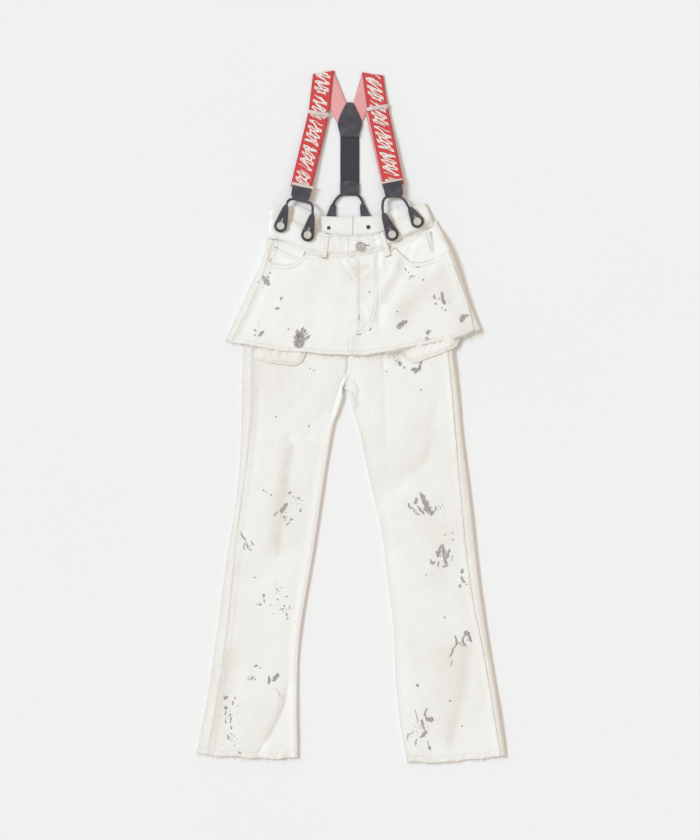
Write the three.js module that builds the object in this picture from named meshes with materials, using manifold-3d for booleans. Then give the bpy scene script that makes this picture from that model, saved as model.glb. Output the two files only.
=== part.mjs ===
// Off-white denim trousers with a cut-off denim overskirt and button-on suspenders, laid flat.
// Millimetres. +Z is up from the surface the garment lies on, the front faces +Z, the
// suspenders point to +Y. "Left" and "right" are as seen from above, with +X to the right.

import * as THREE from 'three';
import { mergeVertices } from 'three/addons/utils/BufferGeometryUtils.js';
import Module from 'manifold-3d';

const wasm = await Module();
wasm.setup();

// ---------------------------------------------------------------- driving dimensions

const GAP = 0.3;                 // between pieces, at seams and between plies
const DENIM = 1.2;               // one ply of denim
const POCKETING = 1.2;           // a pocket bag, two thin plies sewn together
const BAND = 2.2;                // waistband, two plies of denim
const WEBBING = { width: 37.5, thick: 1.5 };
const ELASTIC = { width: 35, thick: 1.6 };
const LEATHER = 2;
const LOOP_CORD = 4.4;           // diameter of the rolled leather loops
// Slack of a ply above the one under it: at its edge, in its middle, and how far in it rises.
const AIR = { edge: 0.8, middle: 3.2, reach: 24 };
const WAIST_AIR = 0.7;           // middle slack of the trousers under the skirt
const SKIRT_AIR = { edge: 0.1, middle: 1, reach: 30 };
const TAB = { top: 2.4, wide: 11.4, hole: 3.4, slit: { foot: 1.9, tip: 0.6, length: 14 } };
const BUTTON = { radius: 7.3, shank: 2.2, head: 1.8, base: 3.2 };
const JEANS_BUTTON = { radius: 8.8, shank: 2.4, head: 2.4, base: 5 };
const CELL = { x: 19, y: 36 };   // lattice on which the cloth heights are kept
const FIELD = { x: -351, y: -715, columns: 38, rows: 34 };
const EVEN = 0.1;                // flats are evened out within this much

const COLOURS = {
  denim: 0xecebe5, pocketing: 0xece7dc, webbing: 0xd9464a,
  leather: 0x4f4d57, elastic: 0x3e3e46, metal: 0xc9c9c4, button: 0xcfd0c6,
};

// ---------------------------------------------------------------- outlines

const v2 = ([x, y]) => new THREE.Vector2(x, y);
const pairs = (points) => points.map((p) => [p.x, p.y]);

/** A smooth line through the points, as a list of [x, y]. */
function smooth(points, steps = 2 * points.length) {
  return pairs(new THREE.SplineCurve(points.map(v2)).getPoints(steps));
}

/** The part of a line whose y lies between two values, ends interpolated. */
function stretch(line, yFrom, yTo) {
  const low = Math.min(yFrom, yTo);
  const high = Math.max(yFrom, yTo);
  const out = [];
  for (let i = 0; i < line.length; i += 1) {
    const [x, y] = line[i];
    if (i > 0) {
      const [px, py] = line[i - 1];
      const cuts = [low, high].filter((c) => (py - c) * (y - c) < 0);
      cuts.sort((a, b) => (y > py ? a - b : b - a));
      cuts.forEach((c) => out.push([px + (x - px) * (c - py) / (y - py), c]));
    }
    if (y >= low && y <= high) out.push([x, y]);
  }
  const rising = out[out.length - 1][1] > out[0][1];
  return rising === (yTo > yFrom) ? out : out.reverse();
}

const reversed = (line) => [...line].reverse();

function area(outline) {
  return THREE.ShapeUtils.area(outline.map(v2));
}

/** The outline moved inward by a distance, corners kept. */
function inset(outline, distance) {
  const turn = Math.sign(area(outline));
  const clean = outline.filter((p, i) => {
    const q = outline[(i + outline.length - 1) % outline.length];
    return Math.hypot(p[0] - q[0], p[1] - q[1]) > 0.5;
  });
  const count = clean.length;
  return clean.map(([x, y], i) => {
    const before = v2(clean[(i + count - 1) % count]);
    const after = v2(clean[(i + 1) % count]);
    const here = new THREE.Vector2(x, y);
    const a = here.clone().sub(before).normalize();
    const b = after.sub(here).normalize();
    const na = new THREE.Vector2(-a.y, a.x);
    const nb = new THREE.Vector2(-b.y, b.x);
    const mitre = na.clone().add(nb).normalize();
    const length = distance / Math.max(0.4, mitre.dot(na));
    return [x + turn * mitre.x * length, y + turn * mitre.y * length];
  });
}

function inside([x, y], outline) {
  let odd = false;
  for (let i = 0, j = outline.length - 1; i < outline.length; j = i, i += 1) {
    const [xi, yi] = outline[i];
    const [xj, yj] = outline[j];
    if ((yi > y) !== (yj > y) && x < (xj - xi) * (y - yi) / (yj - yi) + xi) odd = !odd;
  }
  return odd;
}

function segmentDistance([x, y], [ax, ay], [bx, by]) {
  const dx = bx - ax;
  const dy = by - ay;
  const squared = Math.max(dx * dx + dy * dy, 1e-9);
  const t = THREE.MathUtils.clamp(((x - ax) * dx + (y - ay) * dy) / squared, 0, 1);
  return Math.hypot(x - ax - t * dx, y - ay - t * dy);
}

/** Distance from a point to a line or, with closed set, to an outline. */
function lineDistance(point, line, closed = false) {
  let nearest = Infinity;
  const count = closed ? line.length : line.length - 1;
  for (let i = 0; i < count; i += 1) {
    nearest = Math.min(nearest, segmentDistance(point, line[i], line[(i + 1) % line.length]));
  }
  return nearest;
}


// ---------------------------------------------------------------- solids

function solidOf(geometry) {
  geometry.deleteAttribute('normal');
  geometry.deleteAttribute('uv');
  const merged = mergeVertices(geometry, 1e-4);
  return new wasm.Manifold(new wasm.Mesh({
    numProp: 3,
    vertProperties: new Float32Array(merged.attributes.position.array),
    triVerts: new Uint32Array(merged.index.array),
  }));
}

function geometryOf(solid) {
  const mesh = solid.simplify(EVEN).getMesh();
  const geometry = new THREE.BufferGeometry();
  geometry.setAttribute('position', new THREE.BufferAttribute(mesh.vertProperties, 3));
  geometry.setIndex(new THREE.BufferAttribute(mesh.triVerts, 1));
  geometry.computeVertexNormals();
  return geometry;
}

function prismGeometry(outline, low, high, holes = []) {
  const shape = new THREE.Shape((area(outline) > 0 ? outline : reversed(outline)).map(v2));
  holes.forEach((hole) => shape.holes.push(new THREE.Path(hole.map(v2))));
  const geometry = new THREE.ExtrudeGeometry(shape, { depth: high - low, bevelEnabled: false });
  return geometry.translate(0, 0, low);
}

const prism = (outline, low, high) => solidOf(prismGeometry(outline, low, high));

/** A body lofted through rings of four corners, with flat ends. */
function ringLoft(rings) {
  const positions = rings.flat().flatMap((p) => [p.x, p.y, p.z]);
  const faces = [[0, 1, 2], [0, 2, 3]];
  for (let r = 0; r + 1 < rings.length; r += 1) {
    for (let k = 0; k < 4; k += 1) {
      const a = 4 * r + k;
      const b = 4 * r + (k + 1) % 4;
      faces.push([a, b + 4, b], [a, a + 4, b + 4]);
    }
  }
  const last = 4 * (rings.length - 1);
  faces.push([last, last + 2, last + 1], [last, last + 3, last + 2]);
  const geometry = new THREE.BufferGeometry();
  geometry.setAttribute('position', new THREE.Float32BufferAttribute(positions, 3));
  geometry.setIndex(faces.flat());
  geometry.computeVertexNormals();
  return geometry;
}

// ---------------------------------------------------------------- the pile of plies

/** Heights of everything laid so far, kept on a lattice over the whole garment. */
class Pile {
  constructor() {
    this.top = new Float64Array(FIELD.columns * FIELD.rows);
  }

  static index(i, j) {
    return j * FIELD.columns + i;
  }

  static point(i, j) {
    return [FIELD.x + i * CELL.x, FIELD.y + j * CELL.y];
  }

  static each(visit) {
    for (let j = 0; j < FIELD.rows; j += 1) {
      for (let i = 0; i < FIELD.columns; i += 1) visit(Pile.index(i, j), Pile.point(i, j), i, j);
    }
  }

  /** Marks the lattice points of every cell that one of the outlines enters. */
  static under(outlines) {
    const marked = new Uint8Array(FIELD.columns * FIELD.rows);
    const markCell = (i, j) => {
      [[i, j], [i + 1, j], [i, j + 1], [i + 1, j + 1]].forEach(([a, b]) => { marked[Pile.index(a, b)] = 1; });
    };
    outlines.forEach((outline) => {
      outline.forEach(([x, y], n) => {
        const [nx, ny] = outline[(n + 1) % outline.length];
        const steps = Math.ceil(Math.hypot(nx - x, ny - y) / 2) + 1;
        for (let k = 0; k <= steps; k += 1) {
          const t = k / steps;
          markCell(Math.floor((x + t * (nx - x) - FIELD.x) / CELL.x),
            Math.floor((y + t * (ny - y) - FIELD.y) / CELL.y));
        }
      });
      Pile.each((k, [x, y], i, j) => {
        if (inside([x + CELL.x / 2, y + CELL.y / 2], outline)) markCell(i, j);
      });
    });
    return marked;
  }

  /** Height of a surface at a point, flat over each of the lattice's triangles. */
  static height(surface, [x, y]) {
    const u = (x - FIELD.x) / CELL.x;
    const v = (y - FIELD.y) / CELL.y;
    const i = Math.floor(u);
    const j = Math.floor(v);
    const [a, b] = [u - i, v - j];
    const [z00, z10] = [surface[Pile.index(i, j)], surface[Pile.index(i + 1, j)]];
    const [z01, z11] = [surface[Pile.index(i, j + 1)], surface[Pile.index(i + 1, j + 1)]];
    return a > b ? z00 + a * (z10 - z00) + b * (z11 - z10) : z00 + b * (z01 - z00) + a * (z11 - z01);
  }

  /** Marks a hard piece that the next ply has to clear. */
  raise(outline, z) {
    Pile.under([outline]).forEach((on, k) => { if (on) this.top[k] = Math.max(this.top[k], z); });
  }

  /** The underside of a ply that comes to rest on the pile, tented over its steps. */
  settle(outlines, extra = () => 0, rounds = 8) {
    const rest = this.top.map((z) => (z > 0 ? z + GAP : 0));
    const covered = Pile.under(outlines);
    let surface = rest.slice();
    for (let round = 0; round < rounds; round += 1) {
      const next = surface.slice();
      Pile.each((k, p, i, j) => {
        if (!covered[k] || i < 1 || j < 1 || i > FIELD.columns - 2 || j > FIELD.rows - 2) return;
        const around = [k - 1, k + 1, k - FIELD.columns, k + FIELD.columns].filter((n) => covered[n]);
        const mean = around.reduce((sum, n) => sum + surface[n], 0) / around.length;
        next[k] = Math.max(rest[k], mean);
      });
      surface = next;
    }
    Pile.each((k, p) => { if (covered[k]) surface[k] += extra(p); });
    return surface;
  }

  /** Adds a ply of a thickness, lying on a surface, to the pile. */
  cover(outlines, surface, thickness) {
    Pile.under(outlines).forEach((on, k) => {
      if (on) this.top[k] = Math.max(this.top[k], surface[k] + thickness);
    });
  }

  /** The highest point of the pile under an outline. */
  highest(outline) {
    const centre = outline.reduce(([sx, sy], [x, y]) => [sx + x, sy + y], [0, 0])
      .map((s) => s / outline.length);
    const samples = outline.flatMap(([x, y]) => [0, 0.35, 0.7, 1].map((t) => [
      centre[0] + t * (x - centre[0]), centre[1] + t * (y - centre[1])]));
    return Math.max(...samples.map((p) => Pile.height(this.top, p)));
  }
}

/** The body between two lattice surfaces, inside an outline. */
function slab(low, high, outline) {
  const xs = outline.map((p) => p[0]);
  const ys = outline.map((p) => p[1]);
  const i0 = Math.floor((Math.min(...xs) - FIELD.x) / CELL.x) - 1;
  const i1 = Math.ceil((Math.max(...xs) - FIELD.x) / CELL.x) + 1;
  const j0 = Math.floor((Math.min(...ys) - FIELD.y) / CELL.y) - 1;
  const j1 = Math.ceil((Math.max(...ys) - FIELD.y) / CELL.y) + 1;
  const columns = i1 - i0 + 1;
  const rows = j1 - j0 + 1;
  const half = columns * rows;
  const positions = [];
  for (const surface of [low, high]) {
    for (let j = j0; j <= j1; j += 1) {
      for (let i = i0; i <= i1; i += 1) positions.push(...Pile.point(i, j), surface[Pile.index(i, j)]);
    }
  }
  const faces = [];
  const at = (i, j) => j * columns + i;
  for (let j = 0; j + 1 < rows; j += 1) {
    for (let i = 0; i + 1 < columns; i += 1) {
      const [a, b, c, d] = [at(i, j), at(i + 1, j), at(i + 1, j + 1), at(i, j + 1)];
      faces.push([a, c, b], [a, d, c], [a + half, b + half, c + half], [a + half, c + half, d + half]);
    }
  }
  const rim = [];
  for (let i = 0; i < columns - 1; i += 1) rim.push(at(i, 0));
  for (let j = 0; j < rows - 1; j += 1) rim.push(at(columns - 1, j));
  for (let i = columns - 1; i > 0; i -= 1) rim.push(at(i, rows - 1));
  for (let j = rows - 1; j > 0; j -= 1) rim.push(at(0, j));
  rim.forEach((a, n) => {
    const b = rim[(n + 1) % rim.length];
    faces.push([a, b, b + half], [a, b + half, a + half]);
  });
  const geometry = new THREE.BufferGeometry();
  geometry.setAttribute('position', new THREE.Float32BufferAttribute(positions, 3));
  geometry.setIndex(faces.flat());
  return solidOf(geometry).intersect(prism(outline, -5, 60));
}

const lifted = (surface, amount) => surface.map((z) => z + amount);

/** One ply of cloth, resting on a surface, cut to an outline. */
function ply(surface, outline, thickness) {
  return slab(surface, lifted(surface, thickness), inset(outline, GAP / 2));
}

/** A back panel whose side wraps over the edge and lies as a strip on the front. */
function wrapped(lowSurface, panel, highSurface, strips, thickness) {
  const outer = inset(panel, GAP / 2);
  const high = lifted(highSurface, thickness);
  let body = slab(lowSurface, lifted(lowSurface, thickness), outer);
  strips.forEach((strip) => {
    const cut = inset(strip, GAP / 2);
    const wall = slab(lowSurface, high, cut).subtract(prism(inset(outer, thickness), -5, 60));
    body = body.add(slab(highSurface, high, cut)).add(wall);
  });
  return body;
}

// ---------------------------------------------------------------- garment lines

const CROTCH = [-12, 53];

/** Side and inner lines of the trousers and the skirt, each from the top down. */
const line = {
  legSideLeft: smooth([[-146, 372], [-150, 330], [-164, 270], [-182, 200], [-199, 127], [-203, -49],
    [-212, -154], [-232, -284], [-260, -487], [-286, -623]], 14),
  legSeamLeft: smooth([[-140, 372], [-141, 330], [-150, 270], [-165, 200], [-179, 123], [-180, 31],
    [-191, -90], [-208, -214], [-228, -413], [-262, -624]], 14),
  legSideRight: smooth([[146, 384], [148, 350], [160, 300], [176, 220], [190, 121], [201, 31],
    [209, -51], [221, -145], [238, -302], [253, -406], [269, -502], [288, -626]], 14),
  legSeamRight: smooth([[140, 384], [138, 350], [150, 300], [166, 220], [181, 116], [190, 31],
    [200, -97], [221, -302], [252, -469], [278, -626]], 14),
  innerLeft: smooth([CROTCH, [-23, 12], [-36, -43], [-69, -256], [-82, -332], [-92, -395], [-97, -460],
    [-98, -540], [-97, -630]], 12),
  innerSeamLeft: smooth([[-16, 52], [-27, 20], [-38, -24], [-52, -110], [-70, -256]], 12),
  innerRight: smooth([[-5, 48], [2, 25], [18, -32], [34, -112], [56, -204], [68, -302], [79, -389],
    [83, -475], [92, -571], [105, -639]], 12),
  riseFront: smooth([[-2, 380], [-2, 240], [-4, 150], [-5, 112], [-7, 88], CROTCH], 14),
  skirtSideLeft: smooth([[-148, 375], [-153, 330], [-166, 284], [-186, 241], [-210, 188], [-231, 143]], 8),
  skirtSeamLeft: smooth([[-141, 335], [-145, 310], [-158, 262], [-181, 210], [-216, 142]], 7),
  skirtSideRight: smooth([[145, 391], [153, 373], [175, 330], [193, 293], [219, 216], [241, 162]], 8),
  skirtSeamRight: smooth([[150, 356], [160, 330], [177, 286], [206, 201], [226, 157]], 7),
  skirtHem: smooth([[-231, 143], [-195, 134], [-164, 129], [-105, 121], [-38, 117], [-12, 114],
    [24, 111], [59, 117], [88, 124], [134, 133], [201, 149], [241, 162]], 16),
  hemLeft: smooth([[-286, -623], [-240, -629], [-190, -632], [-140, -633], [-97, -630]], 8),
  hemRight: smooth([[105, -639], [147, -641], [221, -634], [288, -626]], 8),
  bandTopFront: smooth([[-148, 375], [-114, 365], [-88, 356], [-60, 343], [-19, 337], [10, 333],
    [51, 338], [69, 352], [88, 365], [114, 376], [145, 391]], 16),
  bandSeamFront: smooth([[-152, 333], [-121, 319], [-82, 302], [-51, 295], [-19, 294], [21, 299],
    [64, 308], [92, 323], [121, 338], [158, 358]], 13),
  bandSeamBack: smooth([[-152, 333], [-140, 327.6], [-110, 329], [0, 331], [80, 337], [150, 352.4],
    [158, 358]], 14),
  bandTopBack: smooth([[-148, 386], [-93, 388], [-62, 371], [-1, 369], [51, 371], [73, 380], [99, 389],
    [145, 393]], 14),
};

/** The part of a line between two x values, from the first to the second. */
function across(points, xFrom, xTo) {
  const swapped = stretch(points.map(([x, y]) => [y, x]), xFrom, xTo);
  return swapped.map(([y, x]) => [x, y]);
}


const outline = {
  trousersBackLeft: [
    ...stretch(line.legSideLeft, 322, -623), ...across(line.hemLeft, -284, -100),
    ...stretch(reversed(line.innerLeft), -628, 50), ...stretch(reversed(line.riseFront), 56, 320)],
  trousersBackRight: [
    ...stretch(line.legSideRight, 340, -624), ...reversed(across(line.hemRight, 108, 285)),
    ...stretch(reversed(line.innerRight), -637, 46), ...stretch(reversed(line.riseFront), 56, 320)],
  trousersFrontLeft: [
    ...stretch(line.legSeamLeft, 368, -622), ...across(line.hemLeft, -260, -100),
    ...stretch(reversed(line.innerLeft), -628, -262), ...reversed(line.innerSeamLeft),
    ...stretch(reversed(line.riseFront), 58, 330), [-60, 338], [-88, 361], [-114, 370]],
  trousersFrontRight: [
    ...stretch(line.legSeamRight, 376, -624), ...reversed(across(line.hemRight, 108, 275)),
    ...stretch(reversed(line.innerRight), -637, 46), ...stretch(reversed(line.riseFront), 56, 325),
    [51, 330], [69, 344], [88, 357], [114, 368]],
  skirtBackLeft: [
    ...stretch(line.skirtSideLeft, 332, 144), ...across(line.skirtHem, -229, 5.5),
    ...across(line.bandSeamBack, 5.5, -151)],
  skirtBackRight: [
    ...across(line.bandSeamBack, 5.5, 157), ...stretch(line.skirtSideRight, 355, 163),
    ...across(line.skirtHem, 239, 5.5)],
  skirtFrontLeft: [
    ...across(line.bandSeamFront, -138, 9), ...reversed(across(line.skirtHem, -214, 9)),
    ...stretch(reversed(line.skirtSeamLeft), 146, 316)],
  skirtFrontRight: [
    ...across(line.bandSeamFront, 9, 148), ...stretch(line.skirtSeamRight, 352, 159),
    ...across(line.skirtHem, 222, 9)],
  bandBackLeft: [
    ...across(line.bandTopBack, -147, 5.5), ...across(line.bandSeamBack, 5.5, -151)],
  bandBackRight: [
    ...across(line.bandTopBack, 5.5, 144), [152, 373], [157, 362],
    ...across(line.bandSeamBack, 156, 5.5)],
  bandFrontLeft: [
    ...across(line.bandTopFront, -147, -3), ...reversed(across(line.bandSeamFront, -151, -3))],
  bandFrontRight: [
    ...across(line.bandTopFront, -3, 144), [152, 373], [157, 362],
    ...reversed(across(line.bandSeamFront, -3, 154))],
};

/** Strips of the back panels that lie on the front, between the seam and the silhouette. */
const strip = {
  legLeft: [
    ...stretch(line.legSideLeft, 318, -621), [-264, -621],
    ...stretch(reversed(line.legSeamLeft), -619, 318)],
  innerLeft: [
    ...stretch(line.innerLeft, 40, -244), ...stretch(reversed(line.innerSeamLeft), -238, 36)],
  legRight: [
    ...stretch(line.legSideRight, 336, -622), [280, -622],
    ...stretch(reversed(line.legSeamRight), -620, 336)],
  skirtLeft: [
    ...stretch(line.skirtSideLeft, 318, 146), [-219, 146],
    ...stretch(reversed(line.skirtSeamLeft), 148, 322)],
  skirtRight: [
    ...stretch(line.skirtSideRight, 342, 165), [230, 163],
    ...stretch(reversed(line.skirtSeamRight), 162, 344)],
};

/** A scooped pocket opening in the skirt front, and the facing and bag behind it. */
const scoop = {
  left: [[-150, 350], [-82, 316], [-85, 303], [-94, 292], [-108, 285], [-124, 282], [-140, 284],
    [-170, 294]],
  right: [[76, 330], [82, 311], [91, 298], [106, 287], [126, 284], [146, 289], [178, 304], [190, 380]],
};
const facing = {
  left: [[-140, 316], [-120, 311], [-78, 296], [-78, 262], [-110, 262], [-150, 270]],
  right: [[72, 303], [92, 315], [121, 330], [148, 345], [168, 300], [166, 262], [110, 258], [74, 270]],
};
const coinPocket = [[-132, 308], [-96, 295], [-96, 268], [-134, 270]];
const bag = {
  left: [[-176, 131], [-172, 190], [-152, 240], [-142, 288], [-80, 288], [-82, 122], [-84, 110], [-92, 99], [-101, 94], [-120, 94],
    [-140, 97], [-160, 101], [-171, 105], [-177, 111]],
  right: [[66, 117], [75, 280], [160, 280], [186, 200], [202, 150], [199, 133], [190, 125],
    [156, 112], [121, 99], [95, 101], [73, 107]],
};

/** Soft troughs pressed into the cloth: a line, half its width and its depth. */
const legTroughs = [
  { path: [[-114, -64], [-122, -130], [-142, -256]], half: 22, depth: 1.9 },
  { path: [[-140, -290], [-170, -300]], half: 24, depth: 1 },
  { path: [[-117, -506], [-132, -555], [-170, -620]], half: 20, depth: 1.3 },
  { path: [[60, 117], [62, 30], [64, -50]], half: 16, depth: 1.6 },
  { path: [[163, 21], [152, -38], [144, -78], [104, -117], [69, -143]], half: 20, depth: 2 },
  { path: [[212, -432], [184, -598]], half: 26, depth: 1.1 },
];
const skirtTroughs = [
  { path: [[100, 285], [73, 234], [45, 178]], half: 26, depth: 1 },
  { path: [[-8, 284], [10, 262]], half: 20, depth: 0.8 },
];

const hollow = (troughs, point) => troughs.reduce((sum, t) => {
  const away = lineDistance(point, t.path) / t.half;
  return sum + t.depth * Math.exp(-away * away);
}, 0);

/** Slack of a ply above the one it lies on: little at the edge, more in the middle. */
function slack(air, edges, troughs, middleAt = () => air.middle) {
  return (point) => {
    const within = edges.filter((edge) => inside(point, edge));
    if (within.length === 0) return air.edge;
    const depth = Math.max(...within.map((edge) => lineDistance(point, edge, true)));
    const rise = THREE.MathUtils.smoothstep(depth, 0, air.reach);
    const full = air.edge + rise * Math.max(0, middleAt(point) - air.edge);
    return Math.max(air.edge, full - hollow(troughs, point));
  };
}

// ---------------------------------------------------------------- hardware and leather

/** Turns and moves an outline drawn about its own origin, its +Y along an axis. */
function placed(points, [x, y], turn) {
  const c = Math.cos(turn);
  const s = Math.sin(turn);
  return points.map(([px, py]) => [x + c * px - s * py, y + s * px + c * py]);
}

function arc([cx, cy], radius, from, to, steps) {
  return Array.from({ length: steps + 1 }, (_, n) => {
    const angle = THREE.MathUtils.degToRad(from + (to - from) * n / steps);
    return [cx + radius * Math.cos(angle), cy + radius * Math.sin(angle)];
  });
}

const eye = (length) => [0, TAB.wide - length];

/** Teardrop tab hanging from its top at the origin towards -Y. */
function tabOutline(length) {
  const side = [[TAB.top, 0], [TAB.top + 0.8, -0.22 * length], [0.72 * TAB.wide, -0.5 * length]];
  const mirrored = side.map(([x, y]) => [-x, y]).reverse();
  return [...side, ...arc(eye(length), TAB.wide, 15, -195, 14), ...mirrored];
}

/** The keyhole in a tab: a round hole with a tapering slit above it. */
function keyhole(length) {
  const [, y] = eye(length);
  const { foot, tip, length: reach } = TAB.slit;
  const start = THREE.MathUtils.radToDeg(Math.acos(foot / TAB.hole));
  return [...arc([0, y], TAB.hole, start, -180 - start, 14), [-tip, y + reach], [tip, y + reach]];
}

/** A tab from its top point towards its button, whose places are given. */
function tab({ top, button }, low) {
  const length = Math.hypot(top[0] - button[0], top[1] - button[1]) + TAB.wide;
  const turn = Math.atan2(top[1] - button[1], top[0] - button[0]) - Math.PI / 2;
  return {
    outline: placed(tabOutline(length), top, turn),
    geometry: prismGeometry(placed(tabOutline(length), top, turn), low, low + LEATHER,
      [placed(keyhole(length), top, turn)]),
  };
}

/** A button turned about its axis: base on the cloth, shank, and head with a raised rim. */
function button(size, hold) {
  const { radius: r, shank, head, base } = size;
  const foot = 0.8;
  const under = foot + hold;
  return new THREE.LatheGeometry([[0, 0], [base, 0], [shank, foot], [shank, under], [r, under],
    [r, under + head - 0.5], [r - 0.7, under + head], [r * 0.7, under + head - 0.5],
    [0, under + head - 0.3]].map(v2), 16).rotateX(Math.PI / 2);
}

/** A ribbon through stations, each an edge point pair with a height and a way up. */
function ribbon(stations, thickness) {
  return ringLoft(stations.map(({ left, right, z, up = [0, 0, 1] }) => {
    const normal = new THREE.Vector3(...up).multiplyScalar(thickness / 2);
    const l = new THREE.Vector3(...left, z);
    const r = new THREE.Vector3(...right, z);
    return [l.clone().sub(normal), r.clone().sub(normal), r.clone().add(normal), l.clone().add(normal)];
  }));
}

/** The two edge points of a ribbon at a centre point, square to a direction. */
function edges([x, y], turn, width) {
  const [c, s] = [Math.cos(turn) * width / 2, Math.sin(turn) * width / 2];
  return { left: [x - c, y - s], right: [x + c, y + s] };
}

const headingOf = (from, to) => Math.atan2(to[1] - from[1], to[0] - from[0]) - Math.PI / 2;

// Heights of the suspenders' plies, bottom to top.
const PLY = WEBBING.thick + GAP;
const lowerPly = WEBBING.thick / 2;
const upperPly = lowerPly + PLY;
const overPlies = upperPly + WEBBING.thick / 2 + GAP;
// The stiff webbing rises from the floor at the fold to the leather loops on the waistband.
const LIFT = { slider: 1.6, end: 6 };
const overSlider = overPlies + LIFT.slider + 0.3;
const overEnd = overPlies + LIFT.end;

/** Places along each front strap, from its lower end up, then the end under the yoke. */
const straps = {
  left: {
    end: [-92.5, 408], slider: [-59, 560.5], fold: [-50, 635.5], foldTurn: 0.17,
    yoke: { left: [-13, 533], right: [-2.6, 577] }, shift: 0, bar: 5.5, leather: [37, 23],
  },
  right: {
    end: [80.5, 412], slider: [50, 571], fold: [41, 632.5], foldTurn: -0.15,
    yoke: { left: [-0.6, 577], right: [9.5, 533] }, shift: -1.6, bar: 3.4, leather: [36, 28],
  },
};

/** The webbing: up the front, round the fold, and down to the yoke with its reverse up. */
function strapWebbing({ end, slider, fold, foldTurn, yoke }) {
  const lower = headingOf(end, slider);
  const upper = headingOf(slider, fold);
  const across2 = WEBBING.width / Math.cos((upper - lower) / 2);
  const foldEdges = edges(fold, foldTurn, WEBBING.width / Math.cos(foldTurn - upper));
  const outward = [-Math.sin(foldTurn), Math.cos(foldTurn)];
  const radius = PLY / 2;
  const middle = (lowerPly + upperPly) / 2;
  const stations = [
    { ...edges(end, lower, WEBBING.width), z: upperPly + LIFT.end },
    { ...edges(slider, (lower + upper) / 2, across2), z: upperPly + LIFT.slider },
  ];
  for (let n = 0; n <= 6; n += 1) {
    const angle = Math.PI * n / 6;
    const out = radius * Math.sin(angle);
    const move = ([x, y]) => [x + outward[0] * out, y + outward[1] * out];
    stations.push({
      left: move(foldEdges.left), right: move(foldEdges.right), z: middle + radius * Math.cos(angle),
      up: [outward[0] * Math.sin(angle), outward[1] * Math.sin(angle), Math.cos(angle)],
    });
  }
  stations.push({ ...yoke, z: lowerPly, up: [0, 0, -1] });
  return ribbon(stations, WEBBING.thick);
}

/** The return of the webbing, under the front strap from the slider to the leather end. */
function strapReturn({ end, slider, shift }) {
  const turn = headingOf(end, slider);
  const move = ([x, y]) => [x + shift, y];
  return ribbon([
    { ...edges(move(end), turn, WEBBING.width), z: lowerPly + LIFT.end },
    { ...edges(move([slider[0] - 1, slider[1] - 6]), turn, WEBBING.width), z: lowerPly + LIFT.slider },
  ], WEBBING.thick);
}

const BAR = { thick: 2 };
const SLIDER = { height: 9.5, plate: 1, side: 0.9, play: 0.7 };

/** Clip plate across both plies, its sides turned down past the webbing's edges. */
function sliderPlate({ slider, end, fold }) {
  const half = WEBBING.width / 2 + SLIDER.play;
  const out = half + SLIDER.side;
  const top = overSlider + SLIDER.plate;
  const foot = WEBBING.thick + 2 * GAP;
  const section = new THREE.Shape([[-out, foot], [-half, foot], [-half, overSlider], [half, overSlider],
    [half, foot], [out, foot], [out, top - 0.6], [out - 0.6, top], [-out + 0.6, top], [-out, top - 0.6],
  ].map(v2));
  return new THREE.ExtrudeGeometry(section, { depth: SLIDER.height, bevelEnabled: false })
    .translate(0, 0, -SLIDER.height / 2).rotateX(Math.PI / 2)
    .rotateZ((headingOf(end, slider) + headingOf(slider, fold)) / 2).translate(...slider, 0);
}

/** The slider's lever, shut flat on the plate, its tip past the lower edge at the right. */
function sliderLever({ slider, end, fold }) {
  const low = overSlider + SLIDER.plate + GAP;
  const turn = (headingOf(end, slider) + headingOf(slider, fold)) / 2;
  const shape = [[-15, 2.6], [-15, -2.6], [11, -2.6], [12, -6.2], [17, -6.2], [18, 2.6]];
  return prismGeometry(placed(shape, slider, turn), low, low + 0.8);
}

/** Leather end of a front strap, drawn from its top middle towards -Y. */
function leatherOutline([width, length]) {
  const half = width / 2;
  const corner = 6;
  return [[-half, 0], ...arc([-half + 2 + corner, -length + corner], corner, 180, 270, 4),
    ...arc([half - 2 - corner, -length + corner], corner, 270, 360, 4), [half, 0]];
}

/** Where the leather end begins, measured up the strap from the webbing's own end. */
const leatherFrom = ({ leather }) => leather[1] - 7;

function alongStrap({ end, slider }, distance) {
  const turn = headingOf(end, slider);
  return [end[0] - Math.sin(turn) * distance, end[1] + Math.cos(turn) * distance];
}

function leatherEnd(strap) {
  const turn = headingOf(strap.end, strap.slider);
  const top = alongStrap(strap, leatherFrom(strap));
  return prismGeometry(placed(leatherOutline(strap.leather), top, turn), overEnd, overEnd + LEATHER);
}

/** The metal bar across the strap, just above the leather, that the webbing turns round. */
function strapBar(strap) {
  const turn = headingOf(strap.end, strap.slider);
  const base = alongStrap(strap, leatherFrom(strap) + GAP);
  const half = WEBBING.width / 2 + 0.8;
  const section = arc([0, 0], 1, 0, 330, 11)
    .map(([x, y]) => [strap.bar / 2 * (1 + x), overEnd + BAR.thick / 2 * (1 + y)]);
  return new THREE.ExtrudeGeometry(new THREE.Shape(section.map(v2)), { depth: 2 * half, bevelEnabled: false })
    .translate(0, 0, -half).rotateX(Math.PI / 2).rotateZ(Math.PI / 2 + turn).translate(...base, 0);
}

/** A rolled leather loop along its route. */
function loopCord(route) {
  const path = new THREE.CatmullRomCurve3(route.map((p) => new THREE.Vector3(...p)), false, 'centripetal');
  const section = new THREE.Shape(arc([0, 0], LOOP_CORD / 2, 0, 315, 7).map(v2));
  return new THREE.ExtrudeGeometry(section, { steps: 18, extrudePath: path, bevelEnabled: false });
}

// ---------------------------------------------------------------- the garment, laid from the bottom up

const garment = new THREE.Group();
const body = new THREE.Group();
garment.add(body);

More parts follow.
